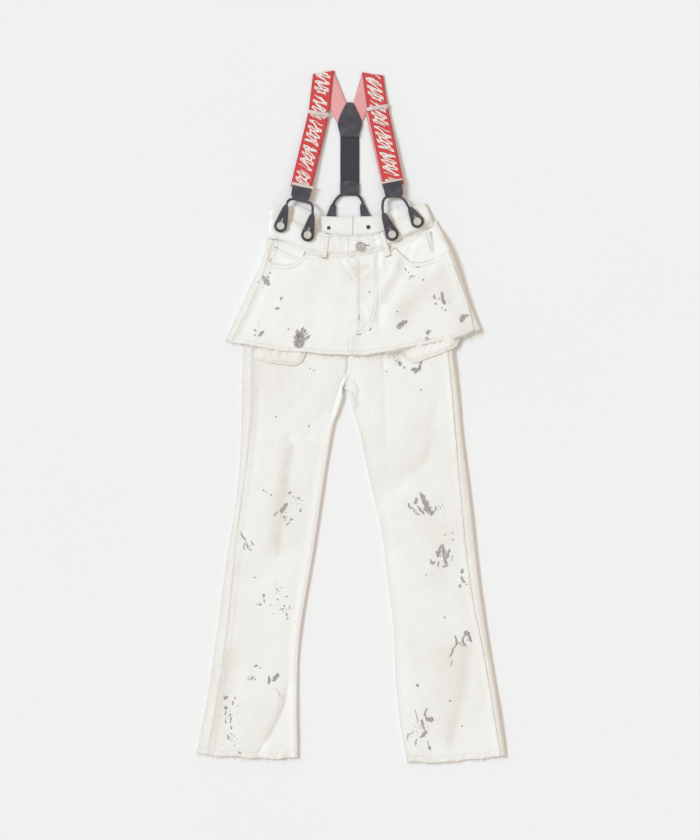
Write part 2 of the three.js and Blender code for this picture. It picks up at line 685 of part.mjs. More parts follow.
function add(name, colour, geometry, finish = { roughness: 0.9, metalness: 0 }) {
  const material = new THREE.MeshStandardMaterial({ color: COLOURS[colour], ...finish });
  const mesh = new THREE.Mesh(geometry.isBufferGeometry ? geometry : geometryOf(geometry), material);
  mesh.name = name;
  body.add(mesh);
  return mesh;
}

const METAL = { roughness: 0.3, metalness: 1 };
const HIDE = { roughness: 0.6, metalness: 0 };
const pile = new Pile();

// Back suspender buttons and their tabs, under the back waistband.
const backTabs = {
  left: { top: [-31, 394], button: [-40, 349] },
  right: { top: [21, 394], button: [33, 350] },
};
const backTabLow = BUTTON.head + GAP;
Object.entries(backTabs).forEach(([side, place]) => {
  const made = tab(place, backTabLow);
  add(`back_button_tab_${side}`, 'leather', made.geometry, HIDE);
  pile.raise(made.outline, backTabLow + LEATHER);
});

// Skirt back and the back of the waistband, one ply on the floor.
const backPieces = [outline.skirtBackLeft, outline.skirtBackRight];
const bandBackPieces = [outline.bandBackLeft, outline.bandBackRight];
const skirtBackSurface = pile.settle([...backPieces, ...bandBackPieces], () => 0, 3);
pile.cover(backPieces, skirtBackSurface, DENIM);
pile.cover(bandBackPieces, skirtBackSurface, BAND);

// Trousers, back and front.
const trousersBack = [outline.trousersBackLeft, outline.trousersBackRight];
const trousersBackSurface = pile.settle(trousersBack, () => 0, 4);
pile.cover(trousersBack, trousersBackSurface, DENIM);
const legAir = ([, y]) => THREE.MathUtils.lerp(AIR.middle, WAIST_AIR, THREE.MathUtils.smoothstep(y, 60, 200));
const trousersFrontSurface = pile.settle(trousersBack, slack(AIR, trousersBack, legTroughs, legAir), 5);
const trousersFront = [outline.trousersFrontLeft, outline.trousersFrontRight];
pile.cover([...trousersBack, ...trousersFront], trousersFrontSurface, DENIM);

add('trousers_back_left', 'denim', wrapped(trousersBackSurface, outline.trousersBackLeft,
  trousersFrontSurface, [strip.legLeft, strip.innerLeft], DENIM));
add('trousers_back_right', 'denim', wrapped(trousersBackSurface, outline.trousersBackRight,
  trousersFrontSurface, [strip.legRight], DENIM));
add('trousers_front_left', 'denim', ply(trousersFrontSurface, outline.trousersFrontLeft, DENIM));
add('trousers_front_right', 'denim', ply(trousersFrontSurface, outline.trousersFrontRight, DENIM));

// Pocket bags, facings and the coin pocket, between the trousers and the skirt front.
Object.entries(bag).forEach(([side, shape]) => {
  const surface = pile.settle([shape], () => 0, 2);
  add(`pocket_bag_${side}`, 'pocketing', ply(surface, shape, POCKETING));
  pile.cover([shape], surface, POCKETING);
});
Object.entries(facing).forEach(([side, shape]) => {
  const surface = pile.settle([shape], () => 0, 2);
  add(`pocket_facing_${side}`, 'denim', ply(surface, shape, DENIM));
  pile.cover([shape], surface, DENIM);
});
const coinSurface = pile.settle([coinPocket], () => 0, 2);
add('coin_pocket', 'denim', ply(coinSurface, coinPocket, DENIM));
pile.cover([coinPocket], coinSurface, DENIM);

// Skirt front, with its scooped openings, and the waistband round both sides.
const skirtShape = [...across(line.bandTopFront, -147, 144), ...line.skirtSideRight,
  ...reversed(line.skirtHem), ...reversed(line.skirtSideLeft)];
const skirtFrontSurface = pile.settle([skirtShape], slack(SKIRT_AIR, [skirtShape], skirtTroughs), 6);
for (const side of ['Left', 'Right']) {
  const name = side.toLowerCase();
  add(`skirt_front_${name}`, 'denim', ply(skirtFrontSurface, outline[`skirtFront${side}`], DENIM)
    .subtract(prism(scoop[name], -5, 60)));
  add(`skirt_back_${name}`, 'denim', wrapped(skirtBackSurface, outline[`skirtBack${side}`],
    skirtFrontSurface, [strip[`skirt${side}`]], DENIM));
}
pile.cover([skirtShape], skirtFrontSurface, DENIM);
const bandFrontPieces = [outline.bandFrontLeft, outline.bandFrontRight];
pile.cover(bandFrontPieces, skirtFrontSurface, BAND);

/** One half of the waistband: inside at the back, over the side fold, outside at the front. */
function waistband(back, front, sideX) {
  const side = Math.sign(sideX);
  const high = lifted(skirtFrontSurface, BAND);
  const fold = inset(front, GAP / 2);
  const keep = [[sideX, 250], [sideX + side * 60, 250], [sideX + side * 60, 420], [sideX, 420]];
  const wall = slab(skirtBackSurface, high, fold)
    .subtract(prism(inset(fold, BAND), -5, 60)).intersect(prism(keep, -5, 60));
  const loose = slab(skirtBackSurface, lifted(skirtBackSurface, BAND), inset(back, GAP / 2));
  return loose.add(slab(skirtFrontSurface, high, fold)).add(wall);
}
const shankHole = ([x, y]) => prism(arc([x, y], BUTTON.shank + GAP, 0, 337.5, 15), -5, 12);
add('waistband_left', 'denim', waistband(outline.bandBackLeft, outline.bandFrontLeft, -147)
  .subtract(shankHole(backTabs.left.button)));
add('waistband_right', 'denim', waistband(outline.bandBackRight, outline.bandFrontRight, 145)
  .subtract(shankHole(backTabs.right.button)));

/** A back button, head down on the floor, its rivet through the waistband. */
Object.entries(backTabs).forEach(([side, { button: [x, y] }]) => {
  const through = Pile.height(skirtBackSurface, [x, y]) + BAND + GAP;
  const { radius: r, shank, head } = BUTTON;
  const profile = [[0, 0], [r - 1, 0], [r, 0.8], [r, head], [shank, head], [shank, through],
    [shank + 1.2, through], [shank + 0.9, through + 0.8], [0, through + 0.8]];
  add(`back_button_${side}`, 'button',
    new THREE.LatheGeometry(profile.map(v2), 16).rotateX(Math.PI / 2).translate(x, y, 0), METAL);
});

// Belt loops on the front waistband.
const beltLoops = {
  left: [[-46.5, 337], [-38.5, 337], [-45.5, 290], [-53.5, 290]],
  right: [[52, 337], [60, 335], [71, 294], [63, 292]],
};
Object.entries(beltLoops).forEach(([side, shape]) => {
  const surface = pile.settle([shape], () => 0, 0);
  add(`belt_loop_${side}`, 'denim', ply(surface, shape, 1.8));
});

// Jeans button on the fly.
const flyButton = [17.5, 314];
const flySpot = arc(flyButton, JEANS_BUTTON.base, 0, 330, 11);
add('jeans_button', 'metal', button(JEANS_BUTTON, 0.6)
  .translate(...flyButton, pile.highest(flySpot) + GAP), METAL);

// Front tabs, each buttoned on the waistband.
const frontTabs = {
  left_outer: { top: [-118, 391], button: [-129, 352] },
  left_inner: { top: [-70, 376], button: [-79, 335] },
  right_inner: { top: [60, 376], button: [77, 336] },
  right_outer: { top: [109, 386], button: [123.5, 360] },
};
const tabTop = {};
Object.entries(frontTabs).forEach(([place, spot]) => {
  const base = pile.highest(tab(spot, 0).outline) + GAP;
  const low = base + 0.8 + GAP;
  add(`front_button_tab_${place}`, 'leather', tab(spot, low).geometry, HIDE);
  add(`front_button_${place}`, 'button', button(BUTTON, LEATHER + 2 * GAP)
    .translate(...spot.button, base), METAL);
  tabTop[place] = low + LEATHER / 2;
});

// Rolled leather loops, from tab to tab along the lower edge of each leather end.
const cordLow = LOOP_CORD / 2 + 0.8;
const cordHigh = cordLow + LIFT.end;
const cords = {
  front_left: [[-117.2, 394, tabTop.left_outer], [-113.5, 398.5, 12.5], [-107, 398.6, 10],
    [-98, 396, cordHigh], [-88, 394, cordHigh], [-79, 392.4, 9.4], [-72.5, 389.5, 11],
    [-69.4, 384, 13.6], [-69.4, 378.8, tabTop.left_inner]],
  front_right: [[59.2, 378.8, tabTop.right_inner], [57.6, 386, 12.6], [58.6, 394.5, 10.2],
    [64, 399.5, 9.2], [73, 400.6, cordHigh], [82, 400.6, cordHigh], [91, 400.2, 9.2],
    [98, 398.6, 10.2], [104, 394, 12], [107.8, 388.6, tabTop.right_outer]],
  back: [[-30.4, 396.8, 3.3], [-26, 402.4, 3], [-19, 406.2, cordLow], [-10, 407, cordLow],
    [-2, 407, cordLow], [8, 407, cordLow], [14.4, 405.8, cordLow], [18.6, 401.6, 3], [20.4, 396.8, 3.3]],
};
Object.entries(cords).forEach(([place, route]) => add(`loop_cord_${place}`, 'leather', loopCord(route), HIDE));

// Suspenders.
Object.entries(straps).forEach(([side, strap]) => {
  add(`strap_${side}`, 'webbing', strapWebbing(strap));
  add(`strap_return_${side}`, 'webbing', strapReturn(strap));
  add(`strap_bar_${side}`, 'metal', strapBar(strap), METAL);
  add(`leather_end_${side}`, 'leather', leatherEnd(strap), HIDE);
  add(`slider_${side}`, 'metal', sliderPlate(strap), METAL);
  add(`slider_lever_${side}`, 'metal', sliderLever(strap), METAL);
});
const elasticHalf = ELASTIC.width / 2;
const elasticX = -1.3;
add('elastic', 'elastic', new THREE.BoxGeometry(ELASTIC.width, 117, ELASTIC.thick)
  .translate(elasticX, 411 + 117 / 2, ELASTIC.thick / 2));
const overElastic = Math.max(ELASTIC.thick, WEBBING.thick) + GAP;
const yokeOutline = smooth([[-21, 517], [-22.5, 531], [-24, 539], [-20, 556], [-12, 572], [-6, 579.5],
  [-1.3, 581], [3.4, 579.5], [9.4, 572], [17.4, 556], [21.4, 539], [19.9, 531], [18.4, 517]], 24);
add('yoke_patch', 'leather', prismGeometry(yokeOutline, overElastic, overElastic + LEATHER), HIDE);
add('leather_end_back', 'leather', prismGeometry([[elasticX - elasticHalf, 410],
  ...arc([elasticX, 408], 28, 130, 50, 8), [elasticX + elasticHalf, 410]], overElastic,
overElastic + LEATHER), HIDE);

// The origin is the middle of the garment's box, on the surface it lies on.
const box = new THREE.Box3().setFromObject(body);
const centre = box.getCenter(new THREE.Vector3());
body.position.set(-centre.x, -centre.y, -box.min.z);

export default garment;
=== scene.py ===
"""Off-white denim trousers with a cut-off denim overskirt and button-on suspenders, laid flat.

Lines and places are in millimetres on the table, with +X to the right, +Y towards the suspenders
and Z up from the table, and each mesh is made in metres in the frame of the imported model.
"""

from __future__ import annotations

import logging
import math
from collections.abc import Callable, Sequence
from dataclasses import dataclass, field
from enum import Enum
from typing import ClassVar

import bmesh
import bpy
import numpy as np
from mathutils import Matrix, Vector
from mathutils.bvhtree import BVHTree


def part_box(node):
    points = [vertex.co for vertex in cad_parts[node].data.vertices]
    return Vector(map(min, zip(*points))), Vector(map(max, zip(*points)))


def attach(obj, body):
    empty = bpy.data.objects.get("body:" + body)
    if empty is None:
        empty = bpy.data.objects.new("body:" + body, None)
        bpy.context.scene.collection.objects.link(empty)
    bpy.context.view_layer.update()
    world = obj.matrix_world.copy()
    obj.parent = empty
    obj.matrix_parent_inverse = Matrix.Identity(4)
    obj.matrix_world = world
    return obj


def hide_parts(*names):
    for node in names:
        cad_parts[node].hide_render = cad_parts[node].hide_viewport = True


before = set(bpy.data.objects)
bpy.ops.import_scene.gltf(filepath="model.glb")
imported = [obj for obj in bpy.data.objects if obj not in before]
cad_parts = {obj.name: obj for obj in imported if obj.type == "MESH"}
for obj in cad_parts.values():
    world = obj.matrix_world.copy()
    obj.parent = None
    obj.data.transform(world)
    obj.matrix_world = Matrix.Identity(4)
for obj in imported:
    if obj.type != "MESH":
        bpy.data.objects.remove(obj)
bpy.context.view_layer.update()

log = logging.getLogger("garment")

MM = 0.001
DENIM = 1.1
BAND = 2.1
LEATHER = 1.9
WEBBING = 1.4
WEBBING_WIDTH = 37.5
ELASTIC_WIDTH = 35.0

Place = tuple[float, float]


class Side(Enum):
    """A side of the garment as seen from above, with its sign along X."""

    LEFT = -1
    RIGHT = 1

    @property
    def word(self) -> str:
        """The side's name as it stands in node names."""
        return self.name.lower()


# ---------------------------------------------------------------- lines and fields


class Line:
    """A smooth line through a few given points, in millimetres, sampled closely."""

    STEPS = 10

    def __init__(self, *points: Sequence[float]) -> None:
        """Samples a Catmull-Rom curve through the points.

        Args:
            points: Two or more points, each of two or three coordinates.
        """
        knots = np.array(points, dtype=float)
        first = 2 * knots[0] - knots[1]
        last = 2 * knots[-1] - knots[-2]
        padded = np.vstack([first, knots, last])
        rows = []
        for i in range(1, len(padded) - 2):
            a, b, c, d = padded[i - 1 : i + 3]
            for t in np.linspace(0, 1, self.STEPS, endpoint=False):
                rows.append(0.5 * (2 * b + (c - a) * t + (2 * a - 5 * b + 4 * c - d) * t**2
                                   + (3 * b - a - 3 * c + d) * t**3))
        rows.append(knots[-1])
        self.samples = np.array(rows)
        steps = np.linalg.norm(np.diff(self.samples, axis=0), axis=1)
        self.reach = np.concatenate([[0], np.cumsum(steps)])

    @property
    def length(self) -> float:
        """The line's length in millimetres."""
        return float(self.reach[-1])

    def along(self, distance: np.ndarray | float) -> np.ndarray:
        """Points at distances from the line's start, in millimetres."""
        axes = range(self.samples.shape[1])
        return np.stack([np.interp(distance, self.reach, self.samples[:, k]) for k in axes], axis=-1)

    def beside(self, distance: float) -> "Line":
        """A line that runs alongside, to the left of its own way where the distance is positive."""
        reach = np.linspace(0, self.length, max(3, int(self.length / 8)))
        way = self.along(reach + 0.5) - self.along(reach - 0.5)
        way[0] = self.along(min(1.0, self.length)) - self.along(0.0)
        way[-1] = self.along(self.length) - self.along(self.length - 1.0)
        way = way / np.linalg.norm(way[:, :2], axis=1)[:, None]
        points = self.along(reach)
        points[:, 0] -= way[:, 1] * distance
        points[:, 1] += way[:, 0] * distance
        return Line(*points)

    def part(self, low: float, high: float) -> "Line":
        """The stretch of the line between two shares of its length."""
        return Line(*self.along(np.linspace(low, high,
                                            max(3, int(self.length * (high - low) / 8))) * self.length))

    def x_at(self, y: np.ndarray | float) -> np.ndarray:
        """The line's x where it passes a height y on the table."""
        order = np.argsort(self.samples[:, 1])
        return np.interp(y, self.samples[order, 1], self.samples[order, 0])

    def y_at(self, x: np.ndarray | float) -> np.ndarray:
        """The line's y where it passes an x on the table."""
        order = np.argsort(self.samples[:, 0])
        return np.interp(x, self.samples[order, 0], self.samples[order, 1])

    def away(self, x: np.ndarray, y: np.ndarray) -> np.ndarray:
        """Distance from each point to the line, in millimetres."""
        nearest = np.full(np.shape(x), np.inf)
        for a, b in zip(self.samples[:-1, :2], self.samples[1:, :2]):
            run = b - a
            share = ((x - a[0]) * run[0] + (y - a[1]) * run[1]) / max(run @ run, 1e-9)
            share = np.clip(share, 0, 1)
            nearest = np.minimum(nearest, np.hypot(x - a[0] - share * run[0], y - a[1] - share * run[1]))
        return nearest


def undulation(x: np.ndarray, y: np.ndarray, size: float, seed: int) -> np.ndarray:
    """Smooth lumps over the table, the same each run.

    Args:
        x: Places along X, in millimetres.
        y: Places along Y, in millimetres.
        size: About how far apart the lumps are, in millimetres.
        seed: Which pattern of lumps.

    Returns:
        Heights from about -1 to 1.
    """
    knots = np.random.default_rng(seed).uniform(-1, 1, (97, 97))
    turn = 0.6 + seed
    u = (x * math.cos(turn) - y * math.sin(turn)) / size + 40
    v = (x * math.sin(turn) + y * math.cos(turn)) / size + 40
    i, j = np.floor(u).astype(int), np.floor(v).astype(int)
    s, t = u - i, v - j
    s, t = s**3 * (s * (6 * s - 15) + 10), t**3 * (t * (6 * t - 15) + 10)
    low = knots[i % 97, j % 97] * (1 - s) + knots[(i + 1) % 97, j % 97] * s
    high = knots[i % 97, (j + 1) % 97] * (1 - s) + knots[(i + 1) % 97, (j + 1) % 97] * s
    return low * (1 - t) + high * t


def ease(value: np.ndarray | float, low: float, high: float) -> np.ndarray:
    """Rises smoothly from 0 at low to 1 at high."""
    t = np.clip((np.asarray(value, dtype=float) - low) / (high - low), 0, 1)
    return t * t * (3 - 2 * t)


@dataclass(frozen=True)
class Fold:
    """A soft crease in a cloth: where it runs, how wide it is and how high it stands."""

    path: Line
    half: float
    height: float

    def at(self, x: np.ndarray, y: np.ndarray) -> np.ndarray:
        """The crease's height over the table, negative for a trough."""
        return self.height * np.exp(-((self.path.away(x, y) / self.half) ** 2))


def creases(folds: Sequence[Fold], x: np.ndarray, y: np.ndarray) -> np.ndarray:
    """The heights of several creases together."""
    return sum((fold.at(x, y) for fold in folds), np.zeros(np.shape(x)))


class Relief:
    """The upper surface of some solids of the frame, softened, as heights in millimetres."""

    STEP = 5.0
    EDGE = (300.0, 660.0)

    def __init__(self, *nodes: str, soften: int = 6) -> None:
        """Reads the height on an even lattice, fills it outwards and evens it out.

        Args:
            nodes: The solids' names.
            soften: How many times each height is averaged with its neighbours.
        """
        tree = joined_tree([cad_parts[name] for name in nodes])
        self.xs = np.arange(-self.EDGE[0], self.EDGE[0] + 1, self.STEP)
        self.ys = np.arange(-self.EDGE[1], self.EDGE[1] + 1, self.STEP)
        heights = np.full((len(self.ys), len(self.xs)), np.nan)
        for j, y in enumerate(self.ys):
            for i, x in enumerate(self.xs):
                hit = tree.ray_cast(Vector((x * MM, y * MM, 1)), Vector((0, 0, -1)))[0]
                if hit is not None:
                    heights[j, i] = hit.z / MM
        known = ~np.isnan(heights)
        heights[~known] = 0
        reached = known.astype(float)
        for _ in range(24):
            total, weight = self._around(heights * reached), self._around(reached)
            filled = np.where(weight > 0, total / np.maximum(weight, 1e-9), 0)
            heights = np.where(known, heights, filled)
            reached = np.where(weight > 0, 1.0, reached)
        for _ in range(soften):
            heights = self._around(heights) / self._around(np.ones_like(heights))
        self.heights = heights

    @staticmethod
    def _around(values: np.ndarray) -> np.ndarray:
        """Sums each value with its eight neighbours."""
        wide = np.pad(values, 1)
        return sum(wide[j : j + values.shape[0],
                        i : i + values.shape[1]] for j in range(3) for i in range(3))

    def at(self, x: np.ndarray, y: np.ndarray) -> np.ndarray:
        """Heights at places on the table, in millimetres."""
        u = np.clip((x - self.xs[0]) / self.STEP, 0, len(self.xs) - 1.001)
        v = np.clip((y - self.ys[0]) / self.STEP, 0, len(self.ys) - 1.001)
        i, j = u.astype(int), v.astype(int)
        s, t = u - i, v - j
        h = self.heights
        return ((h[j, i] * (1 - s) + h[j, i + 1] * s) * (1 - t)
                + (h[j + 1, i] * (1 - s) + h[j + 1, i + 1] * s) * t)


def joined_tree(objects: Sequence[bpy.types.Object]) -> BVHTree:
    """One search tree over the meshes of several objects that sit at the origin."""
    corners: list[Vector] = []
    faces: list[tuple[int, ...]] = []
    for piece in objects:
        start = len(corners)
        corners.extend(vertex.co.copy() for vertex in piece.data.vertices)
        faces.extend(tuple(start + k for k in face.vertices) for face in piece.data.polygons)
    return BVHTree.FromPolygons(corners, faces)


def shares(length: float, coarse: float, fine: float, margin: float) -> np.ndarray:
    """Even steps over a length, closer together within a margin at both ends, as shares of it."""
    edge = np.arange(0, margin, fine)
    count = max(2, int(round((length - 2 * margin) / coarse)))
    middle = np.linspace(margin, length - margin, count + 1)
    return np.concatenate([edge, middle, length - edge[::-1]]) / length


# ---------------------------------------------------------------- meshes


def to_object(name: str, bm: bmesh.types.BMesh, smooth: bool = True) -> bpy.types.Object:
    """Makes an object at the origin from a bmesh and frees the bmesh."""
    mesh = bpy.data.meshes.new(name)
    bm.to_mesh(mesh)
    bm.free()
    mesh.polygons.foreach_set("use_smooth", [smooth] * len(mesh.polygons))
    piece = bpy.data.objects.new(name, mesh)
    bpy.context.scene.collection.objects.link(piece)
    return piece


def grid_piece(name: str, points: np.ndarray, closed: bool = False, weave: np.ndarray | None = None,
               flip: bool = False) -> bpy.types.Object:
    """A sheet or tube from a grid, its points laid where they are given.

    Args:
        name: The new piece's name.
        points: Places in millimetres, by row, column and axis.
        closed: Whether the first and last columns meet.
        weave: Places on the cloth in millimetres, by row, column and axis, kept as the UV map.
        flip: Whether the faces are turned over.

    Returns:
        The new object.
    """
    rows, columns = points.shape[:2]
    bm = bmesh.new()
    uv = bm.loops.layers.uv.new("weave")
    bmesh.ops.create_grid(bm, x_segments=columns - 1, y_segments=rows - 1, size=1)
    bm.verts.ensure_lookup_table()
    flat = points.reshape(-1, 3) * MM
    for vertex, place in zip(bm.verts, flat):
        vertex.co = place
    if weave is not None:
        cloth = weave.reshape(-1, 2) * MM
        for face in bm.faces:
            for loop in face.loops:
                loop[uv].uv = cloth[loop.vert.index]
    if flip:
        bmesh.ops.reverse_faces(bm, faces=bm.faces[:])
    if closed:
        bmesh.ops.remove_doubles(bm, verts=bm.verts[:], dist=0.00001)
    return to_object(name, bm)


def thicken(piece: bpy.types.Object, thickness: float, offset: float = -1.0) -> bpy.types.Object:
    """Gives a sheet its thickness, in millimetres, below the surface it was drawn on."""
    solid = piece.modifiers.new("thickness", "SOLIDIFY")
    solid.thickness = thickness * MM
    solid.offset = offset
    solid.use_even_offset = False
    solid.thickness_clamp = 1.0
    return piece


def tube_points(route: np.ndarray, radius: Callable[[float, np.ndarray], np.ndarray],
                sides: int) -> np.ndarray:
    """Rings of points around a route, carried along it without turning.

    Args:
        route: The middle of the tube, in millimetres, by point and axis.
        radius: Gives the radii of a ring from its distance along the route and its angles.
        sides: How many columns a ring has.

    Returns:
        Points by ring, column and axis, the last column on the first.
    """
    angles = np.linspace(0, 2 * math.pi, sides + 1)
    tangents = np.gradient(route, axis=0)
    tangents /= np.linalg.norm(tangents, axis=1)[:, None]
    up = np.array([0.0, 0.0, 1.0])
    if abs(tangents[0] @ up) > 0.9:
        up = np.array([0.0, 1.0, 0.0])
    rings = []
    passed = 0.0
    for k, (centre, tangent) in enumerate(zip(route, tangents)):
        up = up - tangent * (up @ tangent)
        up /= np.linalg.norm(up)
        side = np.cross(up, tangent)
        if k:
            passed += float(np.linalg.norm(centre - route[k - 1]))
        r = radius(passed, angles)[:, None]
        rings.append(centre + r * (np.cos(angles)[:, None] * side + np.sin(angles)[:, None] * up))
    return np.array(rings)


def repeat_mesh(name: str, template: bmesh.types.BMesh, clouds: Sequence[np.ndarray]) -> bpy.types.Object:
    """Joins many copies of one small shape, each already moved to its place.

    Args:
        name: The new piece's name.
        template: The shape, whose faces are repeated. It is freed.
        clouds: For each copy the places of the template's vertices, in millimetres.

    Returns:
        The joined object.
    """
    template.verts.ensure_lookup_table()
    faces = [[vertex.index for vertex in face.verts] for face in template.faces]
    count = len(template.verts)
    template.free()
    mesh = bpy.data.meshes.new(name)
    corners = np.concatenate(clouds) * MM
    joined = [[k + n * count for k in face] for n in range(len(clouds)) for face in faces]
    mesh.from_pydata([tuple(c) for c in corners], [], joined)
    mesh.polygons.foreach_set("use_smooth", [True] * len(mesh.polygons))
    piece = bpy.data.objects.new(name, mesh)
    bpy.context.scene.collection.objects.link(piece)
    return piece


def template_points(template: bmesh.types.BMesh) -> np.ndarray:
    """The places of a small shape's vertices, by vertex and axis."""
    template.verts.ensure_lookup_table()
    template.verts.index_update()
    return np.array([vertex.co[:] for vertex in template.verts])


class Ground:
    """The finished upper surfaces, on which stitches, threads and paint are laid."""

    def __init__(self, pieces: Sequence[bpy.types.Object]) -> None:
        """Builds the search tree over the pieces."""
        self.tree = joined_tree(pieces)

    def drop(self, x: float, y: float) -> tuple[np.ndarray, np.ndarray] | None:
        """The point under a place on the table and the way up there, or None past the edge."""
        hit, normal, _, _ = self.tree.ray_cast(Vector((x * MM, y * MM, 1)), Vector((0, 0, -1)))
        if hit is None:
            return None
        upward = normal if normal.z > 0 else -normal
        return np.array(hit) / MM, np.array(upward)


# ---------------------------------------------------------------- finishes


def linear(colour: str) -> tuple[float, float, float, float]:
    """An sRGB hex colour as linear red, green, blue and alpha."""
    parts = [int(colour[k : k + 2], 16) / 255 for k in (1, 3, 5)]
    return (*(c / 12.92 if c <= 0.04045 else ((c + 0.055) / 1.055) ** 2.4 for c in parts), 1.0)


def add_node(tree: bpy.types.NodeTree, kind: str, inputs: dict | None = None,
             **settings: object) -> bpy.types.Node:
    """Adds a shader node with its settings, its input values and its links.

    Args:
        tree: The material's node tree.
        kind: The node's type.
        inputs: For each input, by name or number, its value or the socket linked to it.
        settings: Properties of the node.

    Returns:
        The new node.
    """
    made = tree.nodes.new(kind)
    for name, value in settings.items():
        setattr(made, name, value)
    for name, value in (inputs or {}).items():
        socket = made.inputs[name]
        if isinstance(value, bpy.types.NodeSocket):
            tree.links.new(value, socket)
        else:
            socket.default_value = value
    return made


def maths(tree: bpy.types.NodeTree, operation: str, *values: float | bpy.types.NodeSocket,
          clamp: bool = False) -> bpy.types.NodeSocket:
    """The result of a Math node on one to three values or sockets."""
    made = add_node(tree, "ShaderNodeMath", dict(enumerate(values)), operation=operation, use_clamp=clamp)
    return made.outputs[0]


def blend(tree: bpy.types.NodeTree, share: float | bpy.types.NodeSocket, low: object,
          high: object) -> bpy.types.NodeSocket:
    """A colour between two, by a share from 0 to 1."""
    made = add_node(tree, "ShaderNodeMix", {0: share, 6: low, 7: high}, data_type="RGBA")
    return made.outputs[2]


def between(tree: bpy.types.NodeTree, value: bpy.types.NodeSocket, low: float,
            high: float) -> bpy.types.NodeSocket:
    """How far a value has risen from low to high, from 0 to 1, smoothly."""
    inputs = {0: value, 1: low, 2: high, 3: 0.0, 4: 1.0}
    return add_node(tree, "ShaderNodeMapRange", inputs, interpolation_type="SMOOTHSTEP").outputs[0]


def grain(tree: bpy.types.NodeTree, place: bpy.types.NodeSocket, size: float, detail: float = 2.0,
          roughness: float = 0.5) -> bpy.types.NodeSocket:
    """Noise about 0.5 whose lumps are a size in millimetres apart."""
    inputs = {"Vector": place, "Scale": 1000 / size, "Detail": detail, "Roughness": roughness}
    return add_node(tree, "ShaderNodeTexNoise", inputs).outputs[0]


def bands(tree: bpy.types.NodeTree, place: bpy.types.NodeSocket, spacing: float, turn: float = 0.0,
          distortion: float = 0.0) -> bpy.types.NodeSocket:
    """Even ridges from 0 to 1.

    Args:
        tree: The material's node tree.
        place: Coordinates in metres.
        spacing: From ridge to ridge, in millimetres.
        turn: Turn of the ridges from the Y axis, in degrees.
        distortion: How much the ridges wander.
    """
    turned = add_node(tree, "ShaderNodeMapping",
                      {"Vector": place, "Rotation": (0, 0, math.radians(turn))})
    inputs = {"Vector": turned.outputs[0], "Scale": math.pi * 100 / spacing, "Distortion": distortion,
              "Detail": 1.0, "Detail Scale": 0.6}
    return add_node(tree, "ShaderNodeTexWave", inputs).outputs[1]


def new_material(name: str) -> tuple[bpy.types.Material, bpy.types.NodeTree, bpy.types.Node]:
    """An empty material with its shader linked to its output."""
    material = bpy.data.materials.new(name)
    material.use_nodes = True
    tree = material.node_tree
    tree.nodes.clear()
    shader = add_node(tree, "ShaderNodeBsdfPrincipled")
    add_node(tree, "ShaderNodeOutputMaterial", {"Surface": shader.outputs[0]})
    return material, tree, shader


def settle(tree: bpy.types.NodeTree, shader: bpy.types.Node, colour: object,
           height: bpy.types.NodeSocket | None,
           depth: float, **fixed: float) -> None:
    """Sets a shader's colour, its bump and its even values.

    Args:
        tree: The material's node tree.
        shader: The shader.
        colour: Colour or colour socket.
        height: Socket with the surface's height from 0 to 1, if it has a bump.
        depth: How deep that height is, in millimetres.
        fixed: The shader's even values, by input name with underscores.
    """
    if isinstance(colour, bpy.types.NodeSocket):
        tree.links.new(colour, shader.inputs["Base Color"])
    else:
        shader.inputs["Base Color"].default_value = colour
    if height is not None:
        inputs = {"Height": height, "Distance": depth * MM, "Strength": 1.0}
        bump = add_node(tree, "ShaderNodeBump", inputs)
        tree.links.new(bump.outputs[0], shader.inputs["Normal"])
    for name, value in fixed.items():
        shader.inputs[name.replace("_", " ")].default_value = value


